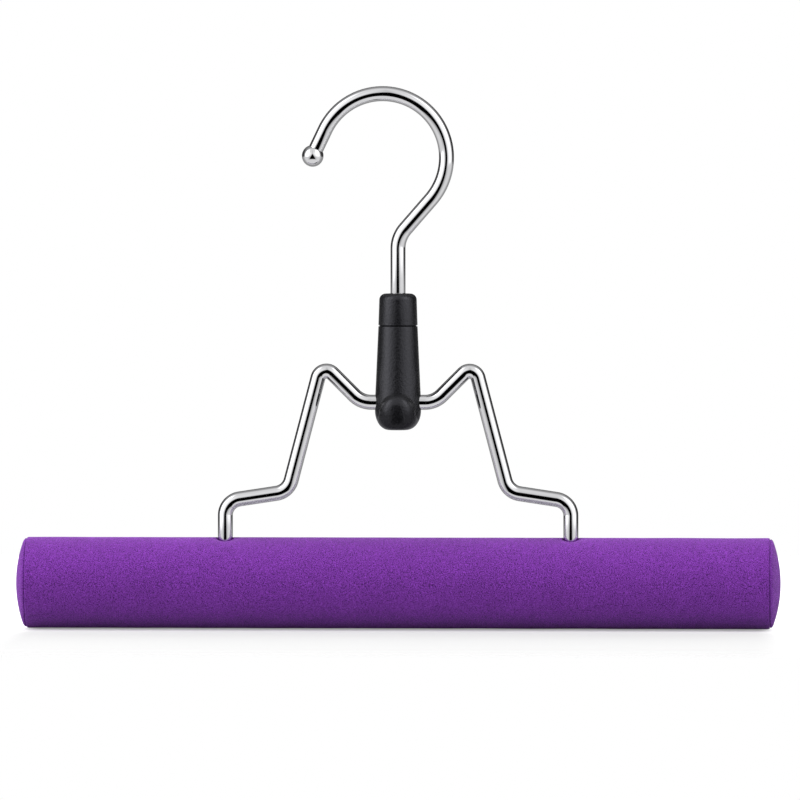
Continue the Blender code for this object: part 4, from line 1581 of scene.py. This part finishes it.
# %% Paint the studio
def blend_levels(tree, share, first, second):
    """First where share is 0, second where it is 1."""
    inputs = {0: share, 2: first, 3: second}
    return add_node(tree, "ShaderNodeMix", inputs, data_type="FLOAT").outputs[0]


def front_level(tree, turn, up, gap):
    """Walls and panels in front of the hanger, with the gap round the camera."""
    less = ramp(tree, up, *WALLS_LESS_HIGH_UP)
    walls = math_node(tree, "SUBTRACT", ramp(tree, up, *WALLS), less)
    left = panel(tree, turn, up, -PANEL_TURN, LEFT_PANEL)
    right = panel(tree, turn, up, PANEL_TURN, RIGHT_PANEL)
    lit = math_node(tree, "ADD", walls, math_node(tree, "ADD", left, right))
    return product(tree, lit, gap)


def studio_level(tree):
    back, up, turn = studio_directions(tree)
    gap = past_the_gap(tree, turn, up)
    window = product(tree, ramp(tree, back, *WINDOW), ramp(tree, up, *WINDOW_TOP))
    rear = math_node(tree, "ADD", ramp(tree, up, *REAR), window)
    front = front_level(tree, turn, up, gap)
    room = blend_levels(tree, ramp(tree, back, *FRONT_TO_REAR), front, rear)
    lit_floor = larger(tree, gap, ramp(tree, up, *FLOOR_STRAIGHT_DOWN))
    floor = product(tree, ramp(tree, back, *FLOOR_LEVEL), lit_floor)
    return blend_levels(tree, ramp(tree, up, *WALL_TO_FLOOR), room, floor)


def make_world():
    world = bpy.data.worlds.new("studio")
    bpy.context.scene.world = world
    world.use_nodes = True
    tree = world.node_tree
    tree.nodes.clear()
    painted = {"Color": WHITE, "Strength": studio_level(tree)}
    studio = add_node(tree, "ShaderNodeBackground", painted).outputs[0]
    plain = add_node(tree, "ShaderNodeBackground", {"Color": WHITE, "Strength": 1.0}).outputs[0]
    seen = add_node(tree, "ShaderNodeLightPath").outputs["Is Camera Ray"]
    mix = add_node(tree, "ShaderNodeMixShader", {0: seen, 1: studio, 2: plain})
    add_node(tree, "ShaderNodeOutputWorld", {"Surface": mix.outputs[0]})
    print("world: %d nodes" % len(tree.nodes))


make_world()

# %% [markdown]
# ## Lamps
# Wide, soft lamps light the cloth and the table: one above, one low behind for the bar's top
# edge, and one at each side. The left one is stronger, as the shades of the bar's ends show.
# They are kept out of the chrome, because the painted room is what it mirrors.

# %% Hang the lamps
LAMPS = {
    "soft_top": {"place_mm": (0, 50, 800), "size_mm": (1200, 500), "watts": 7.5},
    "soft_back": {"place_mm": (0, 850, 140), "size_mm": (1600, 550), "watts": 9.0},
    "soft_left": {"place_mm": (-800, 100, -50), "size_mm": (500, 600), "watts": 3.2},
    "soft_right": {"place_mm": (800, 100, -50), "size_mm": (500, 600), "watts": 0.25},
}


def hang_lamp(name, place_mm, size_mm, watts):
    """A rectangle of light that faces the bar."""
    light = bpy.data.lights.new(name, "AREA")
    light.shape = "RECTANGLE"
    light.size, light.size_y = Vector(size_mm) * MM
    light.energy = watts
    lamp = bpy.data.objects.new(name, light)
    bpy.context.scene.collection.objects.link(lamp)
    lamp.location = Vector(place_mm) * MM
    aim = Vector((0, 0, BAR_HEIGHT)) - lamp.location
    lamp.rotation_euler = aim.to_track_quat("-Z", "Y").to_euler()
    lamp.visible_camera = False
    lamp.visible_glossy = False
    print("%s: %.2f W" % (name, watts))


for lamp_name, lamp_values in LAMPS.items():
    hang_lamp(lamp_name, **lamp_values)

# %% [markdown]
# ## Camera
# The photograph was taken from far away with a long lens, almost straight on: the seams at the
# two ends of the bar are nearly straight lines. The right one shows a little more of its end, so
# the camera stands slightly to the right, and it sees a little of the bar's top.

# %% Set the camera
CAMERA_DISTANCE = 4.0
CAMERA_AROUND = math.radians(2.5)
CAMERA_UP = math.radians(1.8)
CAMERA_TARGET = Vector((0.66, 0, -98.42)) * MM
SENSOR_MM = 36.0
PICTURE_WIDTH = 265.48 * MM


def place_camera():
    camera_data = bpy.data.cameras.new("camera")
    camera_data.sensor_width = SENSOR_MM
    camera_data.lens = SENSOR_MM * CAMERA_DISTANCE / PICTURE_WIDTH
    camera = bpy.data.objects.new("camera", camera_data)
    bpy.context.scene.collection.objects.link(camera)
    back = Vector((
        math.sin(CAMERA_AROUND) * math.cos(CAMERA_UP),
        -math.cos(CAMERA_AROUND) * math.cos(CAMERA_UP),
        math.sin(CAMERA_UP),
    ))
    camera.location = CAMERA_TARGET + CAMERA_DISTANCE * back
    camera.rotation_euler = back.to_track_quat("Z", "Y").to_euler()
    bpy.context.scene.camera = camera
    print("lens %.0f mm" % camera_data.lens)


place_camera()
bpy.context.scene.view_settings.view_transform = "Standard"
